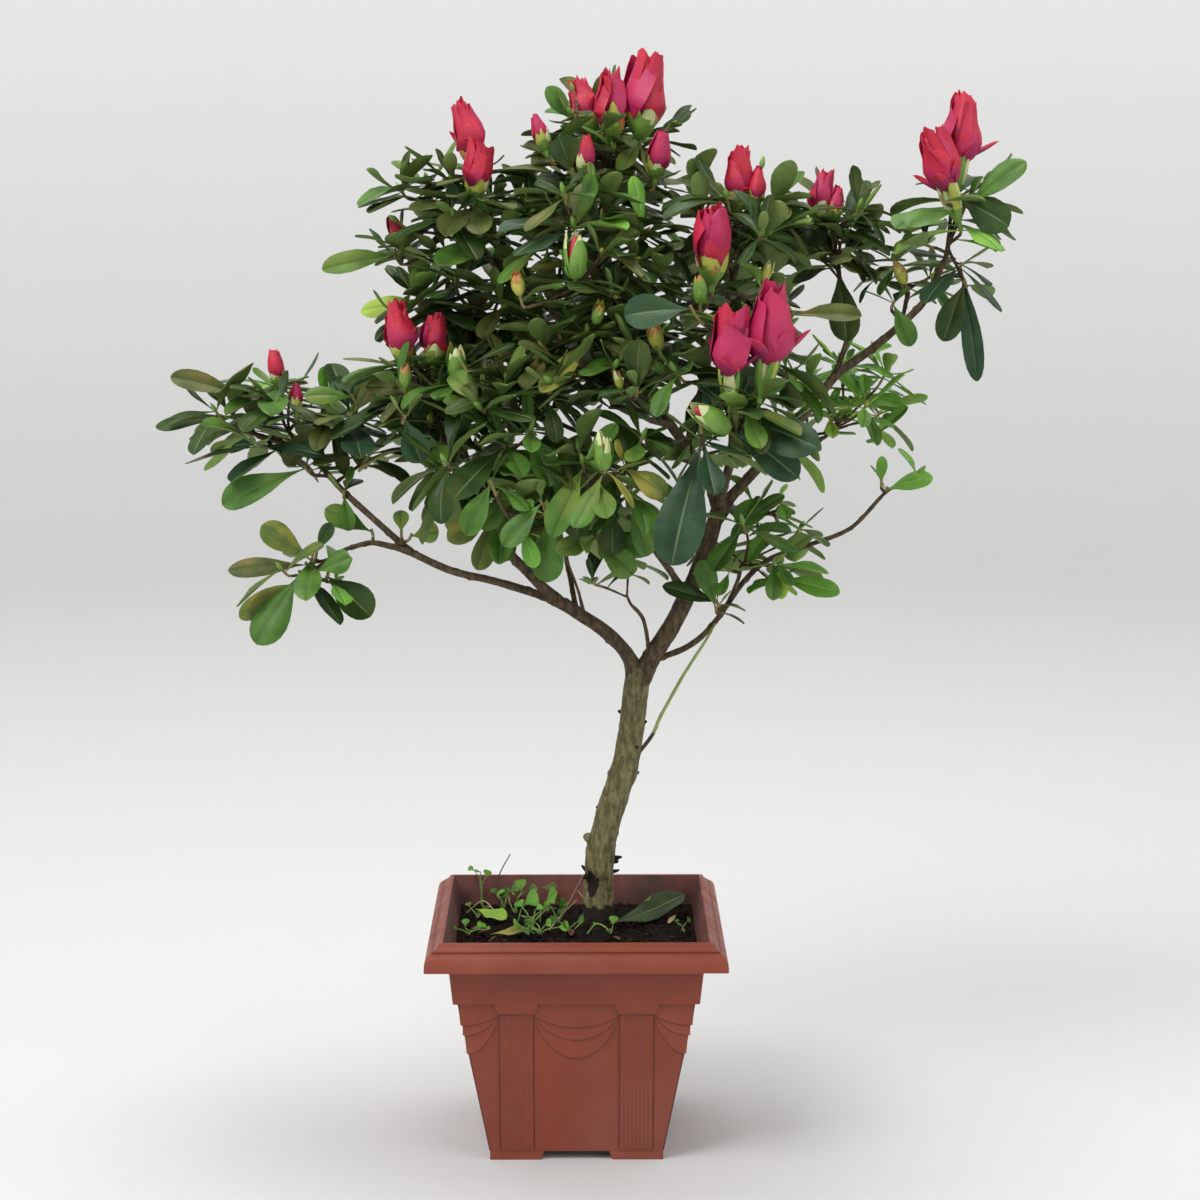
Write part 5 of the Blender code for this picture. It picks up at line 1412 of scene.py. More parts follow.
def add_flower(builder, base, axis, height, mass, seed):
    """A half-open double flower: petals furled round each other, and a few small ones that stand off."""
    rng = random.Random(seed)
    radius = height * FLOWER_ROUND
    first = rng.uniform(0, 6.28)
    top = ROSE if mass == "front_right" else RED
    outer = (
        ((0.14, MAGENTA), (0.30, ROSE), (2, top)),
        ((0.20, MAGENTA), (0.5, ROSE), (2, top)),
        ((0.26, MAGENTA), (2, ROSE)),
    )
    inner = (((0.5, DEEP), (2, RED)), ((0.7, DEEP), (2, top)))
    wind = rng.choice((-0.5, -0.35, 0.4, 0.55))
    if height < SMALL_FLOWER:
        for size, count, spread, bands in ((1.0, 2, 3.4, outer), (0.7, 2, 3.4, inner)):
            form = (0.1, 0.05, 0.05, wind)
            place = (base, axis, height, radius * size)
            whorl(builder, *place, first, count, spread, SLIM_PROFILE, form, bands, rng)
        return
    profile = rng.choice(PROFILES)
    for tall, size, count, spread, form, bands in (
        (0.86, 1.02, 2, 2.8, (0.16, 0.06, 0.30, wind), outer),
        (0.97, 0.88, 3, 2.6, (0.14, 0.06, 0.20, wind), outer),
        (1.00, 0.70, 3, 2.8, (0.10, 0.07, 0.12, wind), inner),
        (0.95, 0.44, 2, 3.4, (0.10, 0.07, 0.00, wind), inner),
    ):
        place = (base, axis, height * tall, radius * size)
        whorl(builder, *place, first + size * 5, count, spread, profile, form, bands, rng)
    share = rng.uniform(0.36, 0.5)
    low = lower_part(profile, share)
    form = (0.5, 0.04, 0.06, wind)
    whorl(builder, base, axis, height * share, radius * 1.04, first + 2, 1, 1.9, low, form, outer, rng)
    for k in range(STRAY_PETALS if mass in STALKS_OF else 1):
        outward = around(axis, first + k * 2.3 + rng.uniform(-0.5, 0.5))
        direction, upper = leaned(axis, outward, rng.uniform(32, 66))
        root = base + axis * height * rng.uniform(0.06, 0.16) + outward * radius * 0.55
        length = height * rng.uniform(0.34, 0.5)
        add_scale(builder, root, direction, upper, length, height * 0.18, top, MAGENTA, 0.5, 0.0, 0.55)


STRAY_PETALS = 4
GREEN_SCALE = 0
YELLOW_SCALE = 1
ORANGE_SCALE = 2
PALE_SCALE = 3
TIP_RED = 4


SCALE_ROWS = 10
SCALE_COLUMNS = 5
SCALE_THICK = 0.0003


def add_scale(
    builder, root, direction, upper, length, width, slot, foot=None, foot_share=0.4, bulge=0.0, point=0.9,
):
    """A narrow scale or small petal, cupped towards its upper side; blunter for a smaller point."""
    side = direction.cross(upper)
    points = []
    for i in range(SCALE_ROWS):
        t = i / (SCALE_ROWS - 1)
        half = width / 2 * (math.sin(math.pi * (0.16 + 0.84 * t)) ** point + 0.02)
        rise = 0.14 * t**2 - bulge * math.sin(math.pi * t)
        centre = root + direction * length * t + upper * length * rise
        for k in range(SCALE_COLUMNS):
            s = 2 * k / (SCALE_COLUMNS - 1) - 1
            points.append((centre + side * half * s + upper * half * 0.5 * s**2, upper))
    vertices, faces = close_sheet(points, SCALE_ROWS, SCALE_COLUMNS, SCALE_THICK)
    rng = random.Random(round(root.x * 1e5))
    bands = ((foot_share, slot if foot is None else foot), (2, slot))
    builder.add(vertices, faces, streaked(faces, SCALE_ROWS, SCALE_COLUMNS, bands, rng))


BUD_CORE = ((-0.08, 0.05), (0.0, 0.12), (0.18, 0.21), (0.40, 0.20), (0.58, 0.13), (0.74, 0.07), (0.82, 0.01))
BUD_SCALES = (1.0, 0.88, 0.95, 0.74, 0.82, 0.62, 0.5)
BUD_LOOKS = (
    (GREEN_SCALE, YELLOW_SCALE), (YELLOW_SCALE, ORANGE_SCALE), (GREEN_SCALE, ORANGE_SCALE),
    (YELLOW_SCALE, PALE_SCALE),
)
LARGE_BUD = 0.018


def add_bud(builder, base, axis, height, seed):
    """An unopened bud: a closed heart in pointed scales that lap over each other."""
    rng = random.Random(seed)
    first = rng.uniform(0, 6.28)
    body, tip = (GREEN_SCALE, PALE_SCALE) if height > LARGE_BUD else rng.choice(BUD_LOOKS)
    heart = TIP_RED if rng.random() < 0.5 else tip
    points = [base + axis * height * t for t, _ in BUD_CORE]
    vertices, faces = tube(points, [height * width for _, width in BUD_CORE], 12)
    slots = [heart if k // 12 > 2 else body for k in range(len(faces) - 2)]
    builder.add(vertices, faces, [*slots, body, heart])
    for number, share in enumerate(BUD_SCALES):
        outward = around(axis, first + number * GOLDEN)
        direction, upper = leaned(axis, outward, rng.uniform(6, 16))
        root = base - axis * height * 0.05 + outward * height * 0.09
        length = height * share * rng.uniform(0.94, 1.06)
        edge = tip if rng.random() < 0.75 else ORANGE_SCALE
        share = rng.uniform(0.5, 0.8)
        add_scale(builder, root, direction, upper, length, height * 0.46, edge, body, share, 0.08)


CALYX_SCALES = 7
FAN_SCALES = 16


def add_calyx(builder, base, axis, height, stalk, seed):
    """A flower's stalk and its cup of green, yellow and brownish scales, a tall pale fan on a long stalk."""
    rng = random.Random(seed + " calyx")
    points = [base - axis * stalk, base - axis * stalk * 0.4, base + axis * height * 0.05]
    builder.add(*tube(points, [0.0014, 0.0020, 0.0026], 8), GREEN_SCALE)
    long_stalk = stalk > LONG_STALK
    count = FAN_SCALES if long_stalk else CALYX_SCALES
    cover = FAN_COVER if long_stalk else CUP_COVER
    for k in range(count):
        outward = around(axis, 2 * math.pi * k / count + rng.uniform(-0.3, 0.3))
        foot = base - axis * stalk * (0.8 if long_stalk else 0.55) + outward * 0.0012
        rise = height * rng.uniform(*cover)
        around_here = profile_at(PROFILES[0], rise / height) * height * FLOWER_ROUND
        reach = base + axis * rise + outward * (around_here * CUP_ROUND + 0.0008)
        direction = (reach - foot).normalized()
        upper = across(direction, axis * direction.dot(outward) - outward * direction.dot(axis))
        length = (reach - foot).length
        if long_stalk:
            tip = rng.choice((PALE_SCALE, PALE_SCALE, GREEN_SCALE, YELLOW_SCALE))
            add_scale(builder, foot, direction, upper, length, 0.0054, tip, GREEN_SCALE, 0.3, 0.05)
        else:
            tip = rng.choice((YELLOW_SCALE, ORANGE_SCALE, PALE_SCALE, YELLOW_SCALE))
            add_scale(builder, foot, direction, upper, length, length * 0.46, tip, GREEN_SCALE, 0.45, 0.1)


def mottled_set(prefix, tones, scale, roughness, grain_scale, grain_depth):
    """One mottled material for each pair of tones."""
    return [
        mottled(prefix + name, first, second, scale, (0.3, 0.7), roughness, grain_scale, grain_depth)
        for name, (first, second) in tones.items()
    ]


PETAL_TINTS = {
    "red": (tint(192, 30, 56), tint(172, 25, 60)),
    "rose": (tint(184, 34, 80), tint(164, 26, 80)),
    "deep": (tint(152, 18, 50), tint(132, 14, 48)),
    "magenta": (tint(166, 32, 96), tint(138, 22, 76)),
}
SCALE_TINTS = {
    "green": (tint(116, 154, 62), tint(94, 134, 50)),
    "yellow": (tint(184, 182, 84), tint(152, 162, 62)),
    "orange": (tint(188, 136, 72), tint(152, 104, 56)),
    "pale": (tint(206, 208, 158), tint(176, 192, 126)),
    "tip": (tint(190, 40, 60), tint(160, 28, 52)),
}


def add_tiny_bud(builder, twig, rng):
    """The small closed bud in the middle of a leafy shoot."""
    shoot = twig.shoot
    base = shoot.tip + shoot.axis * BUD_LENGTH * 0.8
    height = rng.uniform(0.0045, 0.008)
    points = [base + shoot.axis * height * t for t in (0.0, 0.25, 0.55, 0.8, 1.0)]
    radii = [height * width for width in (0.16, 0.24, 0.22, 0.13, 0.02)]
    builder.add(*tube(points, radii, 8), rng.choice((GREEN_SCALE, GREEN_SCALE, GREEN_SCALE, YELLOW_SCALE)))


OTHER_BOUGHS = {"left_tip": ("left_low_bough",), "low_right": ("low_right_bough",)}
GROUPS = {
    "foliage_left": ("left_low", "left_tip", "left_shoulder", "back_left", "mid_left", "upper_left"),
    "foliage_front": ("front_left", "front_middle", "front_right", "centre", "centre_left", "centre_front"),
    "foliage_back": ("low_back", "back_middle", "back_right", "back_top", "top"),
    "foliage_right": (
        "upper_right", "right_shoulder", "right_inner", "right_tip", "right_back", "low_right",
        "low_right_tip", "inner",
    ),
}


def hold_boughs(space, chains):
    """Fills the space with the trunk and the boughs."""
    radii = {"trunk": taper(chains["trunk"], TRUNK_RADIUS, FORK_RADIUS)}
    for limb in LIMBS:
        radii[limb.name] = taper(chains[limb.name], limb.foot_radius, limb.tip_radius)
    for name, chain in chains.items():
        space.add(name, *tube(chain, radii[name], 8))


def grow_mass(mass, chain, tip_radius, space, builder):
    """A mass's stem and the twigs that its rule finds room for, with the flowers' room held."""
    stem, twigs = grow_stems(mass, chain, tip_radius, space)
    route = smooth([chain[-1] - (stem[1] - stem[0]).normalized() * STEM_INTO, *stem[1:]], 6)
    radii = taper(route, tip_radius * 0.95, tip_radius * STEM_TAPER[2])
    builder.add(*tube(route, radii, 10), TWIG_BROWN)
    space.add(mass.name, *tube(stem, [tip_radius * share for share in STEM_TAPER], 5))
    for index, twig in enumerate(twigs):
        space.add(mass.name + str(index), *tube(twig.route, twig.radii, 3))
    for flower in of_mass(FLOWERS, mass):
        axis = axis_of(flower)
        ends = [Vector(flower.centre) + axis * flower.height * share for share in (-0.5, -0.1, 0.4)]
        radius = flower.height * FLOWER_ROUND * FLOWER_CLEAR
        space.add_blossom(ends[0], axis, flower.height, radius)
        space.add(mass.name, *tube(ends, [radius * 0.6, radius, radius * 0.8], 6))
    return twigs


def grow_added(mass, twigs, others, chains, space):
    """Adds the twigs of the added and the filling shoots, each from the nearest place that carries it."""
    routes = [(mass.name + str(index), smooth(twig.route, 3)) for index, twig in enumerate(twigs)]
    for name in (bough_of(mass), *OTHER_BOUGHS.get(mass.name, ())):
        routes.append((name, smooth(chains[name], 2)))
    for shoot in extra_shoots(mass) + fill_shoots(mass, twigs, others):
        start, heading, owner = nearest_start(routes, shoot.tip)
        twig = grow_twig((mass.name, owner), shoot, start, heading, TWIG_RADIUS * 1.15, space)
        if twig:
            own = mass.name + str(len(twigs))
            space.add(own, *tube(twig.route, twig.radii, 3))
            routes.append((own, smooth(twig.route, 3)))
            twigs.append(twig)
            others.append(shoot.tip)


def place_leaves(grown, space, greens):
    """The leaves of all masses, those with places of their own first, as one piece for each group."""
    builders = {group: Builder(group, greens) for group in GROUPS}
    plans = []
    for group, names in GROUPS.items():
        for mass in MASSES:
            if mass.name in names:
                plans += [(builders[group], plan) for plan in plan_leaves(mass, grown[mass.name])]
    plans.sort(key=lambda pair: pair[1].part != "aimed")
    for builder, plan in plans:
        place_leaf(plan, space, builder)
    for group, names in GROUPS.items():
        builders[group].make_piece("foliage", *("leaves_" + name for name in names))


def add_blossom(blossom, buds):
    """Every flower with its cup of scales, and every bud that shows."""
    for number, flower in enumerate(FLOWERS):
        axis = axis_of(flower)
        base = Vector(flower.centre) - axis * flower.height / 2
        add_flower(blossom, base, axis, flower.height, flower.mass, "flower %d" % number)
        add_calyx(buds, base, axis, flower.height, stalk_of(flower), "flower %d" % number)
    for number, extra in enumerate(EXTRAS):
        place = (Vector(extra.base), axis_of(extra), extra.height)
        if extra.kind == "flower":
            add_flower(blossom, *place, extra.mass, "extra %d" % number)
            add_calyx(buds, *place, SMALL_STALK, "extra %d" % number)
        elif extra.kind == "bud":
            add_bud(buds, *place, "bud %d" % number)


def make_foliage(chains, greens):
    """Twigs, leaves, flowers and buds of every mass, each kind in joined pieces of its own."""
    space = Space()
    hold_boughs(space, chains)
    tips = {limb.name: limb.tip_radius for limb in LIMBS}
    bark = bark_material("twig_bark", tint(92, 76, 54), tint(68, 56, 40), 900)
    green = mottled("twig_green", tint(132, 122, 66), tint(110, 92, 52), 220, (0.3, 0.7), 0.6, 900, 0.0001)
    wood = Builder("twigs", [bark, green])
    blossom = Builder("blossom", mottled_set("petal_", PETAL_TINTS, 90, 0.55, 500, 0.0003))
    buds = Builder("buds", mottled_set("scale_", SCALE_TINTS, 160, 0.5, 700, 0.0001))
    grown = {}
    for mass in MASSES:
        bough = bough_of(mass)
        grown[mass.name] = grow_mass(mass, chains[bough], tips[bough], space, wood)
    for extra in EXTRAS:
        if extra.kind != "shoot":
            radius = extra.height * FLOWER_ROUND * FLOWER_CLEAR
            space.add_blossom(Vector(extra.base), axis_of(extra), extra.height, radius)
    others = [twig.shoot.tip for twigs in grown.values() for twig in twigs]
    for mass in MASSES:
        grow_added(mass, grown[mass.name], others, chains, space)
    place_leaves(grown, space, greens)
    rng = random.Random("tiny buds")
    for mass in MASSES:
        for twig in grown[mass.name]:
            add_twig(wood, twig)
            if twig.shoot.aim is None and twig.shoot.kind != "flower":
                add_tiny_bud(buds, twig, rng)
    add_blossom(blossom, buds)
    wood.make_piece("bark")
    blossom.make_piece("blossom")
    buds.make_piece("foliage")


def bark_material(name, first, second, grain_scale):
    """Rough bark whose two tones run in streaks up the limb, with finer flecks."""
    material = plain_material(name, first, 0.85)
    tree = material.node_tree
    shader = tree.nodes["Principled BSDF"]
    shader.inputs["Specular IOR Level"].default_value = 0.25
    streaks = add_range(tree, add_noise(tree, 380, 6.0, (1.0, 1.0, 0.3)), 0.36, 0.62)
    colour = add_mix(tree, streaks, first, second)
    flecks = add_range(tree, add_noise(tree, 520, 3.0, (1.0, 1.0, 0.6)), 0.5, 0.7, 0.0, 0.6)
    fleck_tint = tuple(0.45 * v for v in second)
    tree.links.new(add_mix(tree, flecks, colour, fleck_tint), shader.inputs["Base Color"])
    add_bump(tree, shader, add_noise(tree, grain_scale, 4.0, (1.0, 1.0, 0.5)), 0.0009)
    return material


MOIST_HEIGHT = 0.0135
SUCKER_BROWN = 0.24
BARK_STEP = 0.0011
NODE_STEP = 0.0085
SCAR_SIZE = 0.0013
SCAR_PROUD = 0.0007


def bark_lift(distance, angle, radius, point, seed):
    """How far a bough's bark stands out: ridges along it, cracks and the scars of old leaves."""
    around = Vector((math.cos(angle), math.sin(angle), 0)) * radius * 260
    ridges = noise.noise(around + Vector((0, 0, distance * 70 + seed)))
    fine = noise.noise(around * 3 + Vector((0, 0, distance * 420 + seed)))
    knobs = noise.noise(point * 95 + Vector((seed, 0, 0)))
    lift = radius * (0.075 * ridges + 0.04 * fine + 0.07 * knobs)
    index = round(distance / NODE_STEP)
    if index > 0:
        along_gap = (distance - index * NODE_STEP) / SCAR_SIZE
        turn_gap = (angle - index * GOLDEN - seed + math.pi) % (2 * math.pi) - math.pi
        scar = math.exp(-(along_gap**2) - (turn_gap * radius / SCAR_SIZE) ** 2)
        lift += scar * min(radius * 0.3, SCAR_PROUD)
    return lift


def trunk_slot(z, angle):
    """Which bark a place of the trunk has: dark where it is moist near the soil, and dark in its old hollow,
    where the dark colour is painted shade.
    """
    wander = noise.noise(Vector((2 * math.cos(angle), 2 * math.sin(angle), z * 240)))
    if z < SOIL_TOP + MOIST_HEIGHT + 0.005 * wander or hollow_depth(z, angle) > 0.42 + 0.25 * wander:
        return DARK_BARK
    return TRUNK_BARK


def add_stubs(builder, chain):
    """The broken stubs, old knobs and lifted flakes of the trunk."""
    for z, angle, length, radius, rise in STUBS:
        low = max((point for point in chain if point.z <= z), key=lambda point: point.z)
        high = min((point for point in chain if point.z > z), key=lambda point: point.z)
        centre = low.lerp(high, (z - low.z) / (high.z - low.z))
        share = (z - SOIL_TOP) / (chain[-1].z - SOIL_TOP)
        around = TRUNK_RADIUS + (FORK_RADIUS - TRUNK_RADIUS) * share
        outward = Vector((math.sin(angle), -math.cos(angle), 0))
        way = (outward + UP * rise).normalized()
        root = centre + outward * (around - 0.0008)
        points = [root, root + outward * 0.001 + way * length * 0.5, root + outward * 0.001 + way * length]
        slot = TRUNK_BARK if radius > 0.002 else DARK_BARK
        builder.add(*tube(points, [radius * 1.3, radius * 0.85, radius * 0.45], 8), slot)


def add_limb(builder, chain, foot_radius, tip_radius, sides, collar, seed, trunk=False, brown=1.0):
    """A bough as a closed tube with the relief of its bark, a collar at its foot and a round end."""
    spans = sum((b - a).length for a, b in zip(chain, chain[1:]))
    steps = max(2, round(spans / (len(chain) - 1) / BARK_STEP))
    route = smooth(chain, steps)
    directions = tangents(route)
    end = tip_radius * 0.7
    side = across(directions[0])
    distance = 0.0
    vertices = []
    slots = []
    last = route[0]
    rings = 0
    for i, (point, direction) in enumerate(zip(route, directions)):
        distance += (point - last).length
        last = point
        share = i / (len(route) - 1)
        side = across(direction, side)
        third = direction.cross(side)
        radius = foot_radius + (tip_radius - foot_radius) * share
        radius *= 1 + collar[0] * math.exp(-max(distance - collar[1], 0) / collar[2])
        vertices += bark_ring(point, side, third, radius, distance, sides, seed, trunk, 1.0)
        for k in range(sides):
            angle = 2 * math.pi * k / sides
            plain = BOUGH_BARK if share <= brown else 0
            slots.append(trunk_slot(point.z, angle) if trunk else plain)
        rings += 1
    for dome in (0.35, 0.7, 0.9, 1.0):
        shrink = math.sqrt(max(1 - dome**2, 0.004))
        centre = route[-1] + directions[-1] * end * dome
        vertices += bark_ring(centre, side, third, radius * shrink, distance, sides, seed, trunk, shrink)
        rings += 1
    faces = tube_faces(rings, sides)
    slots += [slots[-1]] * (len(faces) - len(slots))
    builder.add(vertices, faces, slots)


def bark_ring(point, side, third, radius, distance, sides, seed, trunk, relief):
    ring = []
    for k in range(sides):
        angle = 2 * math.pi * k / sides
        outward = side * math.cos(angle) + third * math.sin(angle)
        lift = bark_lift(distance, angle, radius, point + outward * radius, seed) * relief
        if trunk:
            lift += trunk_wave(point.z, angle) * relief
        ring.append(point + outward * (radius + lift))
    return ring


def hollow_depth(z, angle):
    """How deep the old hollow low on the trunk is, as a share of its deepest place."""
    turn = (angle - HOLLOW_ANGLE + math.pi) % (2 * math.pi) - math.pi
    return math.exp(-(((z - HOLLOW_Z) / HOLLOW_HEIGHT) ** 2) - (turn / HOLLOW_TURN) ** 2)


def trunk_wave(z, angle):
    """How far the trunk stands out: the roots' flare at the soil, and old scars."""
    height = z - SOIL_TOP
    out = FLARE * math.exp(-height / FLARE_HEIGHT) * (0.75 + 0.25 * math.cos(3 * angle + 1))
    for scar_z, scar_angle, size in SCARS:
        turn = math.cos(angle - scar_angle)
        out += size * math.exp(-(((z - scar_z) / SCAR_HEIGHT) ** 2)) * max(turn, 0.0) ** 2
    return out - HOLLOW_DEEP * hollow_depth(z, angle)


def make_bark(chains):
    """The trunk and all the boughs as one piece with bark relief, and the green sucker."""
    bark = Builder("bark", [
        bark_material("trunk_bark", tint(128, 121, 86), tint(88, 82, 55), 700),
        bark_material("dark_bark", tint(46, 36, 27), tint(30, 24, 19), 700),
        bark_material("bough_bark", tint(98, 84, 62), tint(64, 54, 41), 700),
    ])
    add_limb(bark, chains["trunk"], TRUNK_RADIUS, FORK_RADIUS, 64, (0.0, 0.0, 1.0), 3.1, True)
    add_stubs(bark, chains["trunk"])
    smooth_green = mottled(
        "green_bark", tint(150, 164, 96), tint(124, 140, 74), 120, (0.3, 0.7), 0.55, 700, 0.0001,
    )
    green = Builder("green_shoot", [smooth_green, smooth_green, bark.materials[BOUGH_BARK]])
    radii = {limb.name: limb.foot_radius for limb in LIMBS}
    radii["trunk"] = FORK_RADIUS
    for number, limb in enumerate(LIMBS):
        builder = green if limb.name == "green_sucker" else bark
        sides = 36 if limb.foot_radius > 0.003 else 18
        collar = (0.32, radii[limb.parent] * 0.8, limb.foot_radius * 1.6)
        brown = SUCKER_BROWN if builder is green else 1.0
        radii_here = (limb.foot_radius, limb.tip_radius)
        add_limb(builder, chains[limb.name], *radii_here, sides, collar, number * 7.7, brown=brown)
    boughs = (limb.name for limb in LIMBS if limb.name != "green_sucker")
    bark.make_piece("bark", "trunk", *boughs, sharp=80)
    green.make_piece("green_bark", "green_sucker", sharp=80)


def wall_half(z):
    """Half the outer width of the pot's wall at a height."""
    return FOOT_HALF + GAP + WALL_SLOPE * (z - FOOT_HEIGHT)


def inner_half(z):
    """Half the width of the pot's inside at a height."""
    if z <= COLLAR_BOTTOM:
        return wall_half(z) - WALL
    rise = (z - COLLAR_BOTTOM) / (POT_HEIGHT - COLLAR_BOTTOM)
    foot = wall_half(COLLAR_BOTTOM) - WALL
    return foot + (LIP_HALF - LIP_WIDTH - foot) * rise


def arc(first, middle, last, steps=5):
    """Points on a bowed line from the first to the last, drawn towards the middle one."""
    points = []
    for i in range(steps + 1):
        t = i / steps
        points.append(tuple(
            a * (1 - t) ** 2 + 2 * b * t * (1 - t) + c * t**2 for a, b, c in zip(first, middle, last)
        ))
    return points


def pot_profile():
    """The pot's section as (half width, height), up the outside and down the inside."""
    wall = 0.0004
    outside = [
        (wall_half(FOOT_HEIGHT) - wall, FOOT_HEIGHT - 0.0005),
        (wall_half(COLLAR_BOTTOM) - wall, COLLAR_BOTTOM),
        (COLLAR_HALF, COLLAR_BOTTOM),
        (COLLAR_HALF + 0.0026, COLLAR_TOP),
        (RIM_HALF - 0.0026, COLLAR_TOP),
        (RIM_HALF - 0.0018, RIM_BOTTOM),
        (RIM_HALF, RIM_BOTTOM),
    ]
    ovolo = arc((RIM_HALF, RIM_BOTTOM + 0.0012), (0.0850, 0.1296), (0.0808, 0.1312), 8)
    groove = [(0.0800, 0.1313), (0.0798, 0.1317)]
    cove = arc((0.0803, 0.1320), (0.0790, 0.1324), (0.0780, 0.1338))
    inside = [
        (0.0774, 0.1342),
        (0.0770, 0.1354),
        (LIP_HALF - 0.0002, POT_HEIGHT - 0.0003),
        (LIP_HALF - 0.0008, POT_HEIGHT),
        (LIP_HALF - LIP_WIDTH + 0.0004, POT_HEIGHT),
        (LIP_HALF - LIP_WIDTH, POT_HEIGHT - 0.0005),
        (inner_half(RIM_BOTTOM), RIM_BOTTOM),
        (inner_half(COLLAR_BOTTOM), COLLAR_BOTTOM),
        (inner_half(FOOT_HEIGHT + WALL), FOOT_HEIGHT + WALL),
    ]
    return outside + ovolo + groove + cove + inside


GROOVE_ROWS = (15,)
INSIDE_ROWS = 4
CORNER_ROUND = 0.0011
CORNER_STEPS = 4
CORNER_MARGIN = 0.003
RING_POINTS = 4 * (CORNER_STEPS + 3)


def square_ring(half, z):
    """The corners of a square ring, each one slightly rounded, with a point on the flat at either side."""
    points = []
    for turn in range(4):
        rotation = Matrix.Rotation(turn * math.pi / 2, 3, "Z")
        centre = half - CORNER_ROUND
        points.append(rotation @ Vector((centre - CORNER_MARGIN, -half, z)))
        for k in range(CORNER_STEPS + 1):
            angle = math.radians(-90 + 90 * k / CORNER_STEPS)
            x = centre + CORNER_ROUND * math.cos(angle)
            y = -centre + CORNER_ROUND * math.sin(angle)
            points.append(rotation @ Vector((x, y, z)))
        points.append(rotation @ Vector((half, CORNER_MARGIN - centre, z)))
    return points


def on_face(turn, depth, u, z):
    """A point of one of the pot's four faces, so far out from the wall."""
    return Matrix.Rotation(turn, 3, "Z") @ Vector((u, -wall_half(z) - depth, z))


SLAB_BACK = 0.0007


def add_slab(builder, turn, grid, slot_at):
    """A closed slab from rows of (u, z, depth) on one face; slot_at gives a place by row and column."""
    rows = len(grid)
    columns = len(grid[0])
    front = [on_face(turn, depth, u, z) for row in grid for u, z, depth in row]
    back = [on_face(turn, -SLAB_BACK, u, z) for row in grid for u, z, depth in row]
    count = rows * columns
    faces = []
    places = []
    for face in grid_faces(rows, columns):
        faces.append((face[0], face[3], face[2], face[1]))
        places.append(slot_at(*divmod(face[0], columns)))
    ring = grid_edge(rows, columns)
    order = {index: count + place for place, index in enumerate(ring)}
    # The narrow edges all round the slab are painted shade.
    for a, b in ends_of(ring):
        faces.append((a, b, order[b], order[a]))
        places.append(GROOVE_SHADE)
    faces.append(tuple(order[index] for index in reversed(ring)))
    places.append(PLASTIC)
    builder.add(front + [back[index] for index in ring], faces, places)


def swag_rows(columns, bottoms, place):
    """The rows of a panel from the collar down: lapped folds of cloth, then the plain wall.

    place turns a column's share and a height into the panel's u. Each fold starts in a line of painted shade,
    and the step to the next fold is painted shade too."""
    def curve(share, bottom):
        sag = 1 - (2 * share - 1) ** 2
        return SWAG_ENDS - (SWAG_ENDS - bottom) * sag**0.8

    rows = []
    slots = []
    top = [COLLAR_BOTTOM + 0.0004] * len(columns)
    for bottom in (*bottoms, None):
        low = [FOOT_HEIGHT if bottom is None else curve(share, bottom) for share in columns]
        line = [max(a - GROOVE_LINE, b) for a, b in zip(top, low)]
        rows.append([(place(share, a), a, 0.0) for share, a in zip(columns, top)])
        # The line at the top of each fold is painted shade.
        slots.append(GROOVE_SHADE)
        for step in range(5):
            f = step / 4
            row = []
            for share, a, b in zip(columns, line, low):
                z = a + (b - a) * f
                swell = 0.0 if bottom is None else SWAG_PROUD * f**1.6 * min(1, (a - b) / 0.004)
                row.append((place(share, z), z, swell))
            rows.append(row)
            slots.append(PLASTIC)
        top = [z - SWAG_STEP for z in low]
        # The step down to the next fold is painted shade too.
        slots[-1] = GROOVE_SHADE
    return rows, slots


def add_middle_panel(builder, turn):
    inner = PILASTER_CENTRE - PILASTER_HALF + 0.0004
    columns = [k / 36 for k in range(37)]
    rows, slots = swag_rows(columns, SWAG_BOTTOMS, lambda share, z: inner * (2 * share - 1))
    add_slab(builder, turn, rows, lambda i, k: slots[i])


def add_corner_panel(builder, turn, hand):
    """The panel from a pilaster to the corner, whose folds hang as half a swag to the next face."""
    outer = PILASTER_CENTRE + PILASTER_HALF - 0.0004
    columns = [k / 28 for k in range(15)]

    def place(share, z):
        return hand * (outer + (wall_half(z) - outer) * 2 * share)

    if hand < 0:
        columns = list(reversed(columns))
    rows, slots = swag_rows(columns, CORNER_BOTTOMS, place)
    corner = 0 if hand < 0 else -1
    for row in rows:
        u, z, depth = row[corner]
        row[corner] = (u + hand * depth, z, depth)
    add_slab(builder, turn, rows, lambda i, k: slots[i])


def add_pilaster(builder, turn, centre):
    """A fluted strip that stands a little proud of the wall, with a groove of painted shade down each side
    and painted shade in the dips of its flutes.
    """
    steps = FLUTES * 6
    margin = 0.0013
    edge = PILASTER_HALF
    shape = [(-edge - GROOVE_LINE, 0.0001), (-edge, 0.0001), (-edge + 0.0001, PILASTER_PROUD)]
    width = 2 * (edge - margin)
    for k in range(steps + 1):
        share = k / steps
        dip = (0.5 - 0.5 * math.cos(2 * math.pi * FLUTES * share)) * FLUTE_DEPTH
        shape.append((-edge + margin + width * share, PILASTER_PROUD - dip))
    shape += [(edge - 0.0001, PILASTER_PROUD), (edge, 0.0001), (edge + GROOVE_LINE, 0.0001)]
    grid = []
    for step in range(6):
        z = PILASTER_TOP + 0.001 + (FOOT_HEIGHT + 0.001 - PILASTER_TOP - 0.001) * step / 5
        grid.append([(centre + u, z, depth) for u, depth in shape])

    # The lines down the sides and the dips of the flutes are painted shade.
    def slot_at(i, k):
        if k < 2 or k > len(shape) - 4:
            return GROOVE_SHADE
        return SHADE if (k - 3) % 6 in (2, 3) and 3 <= k < steps + 3 else PLASTIC

    add_slab(builder, turn, grid, slot_at)


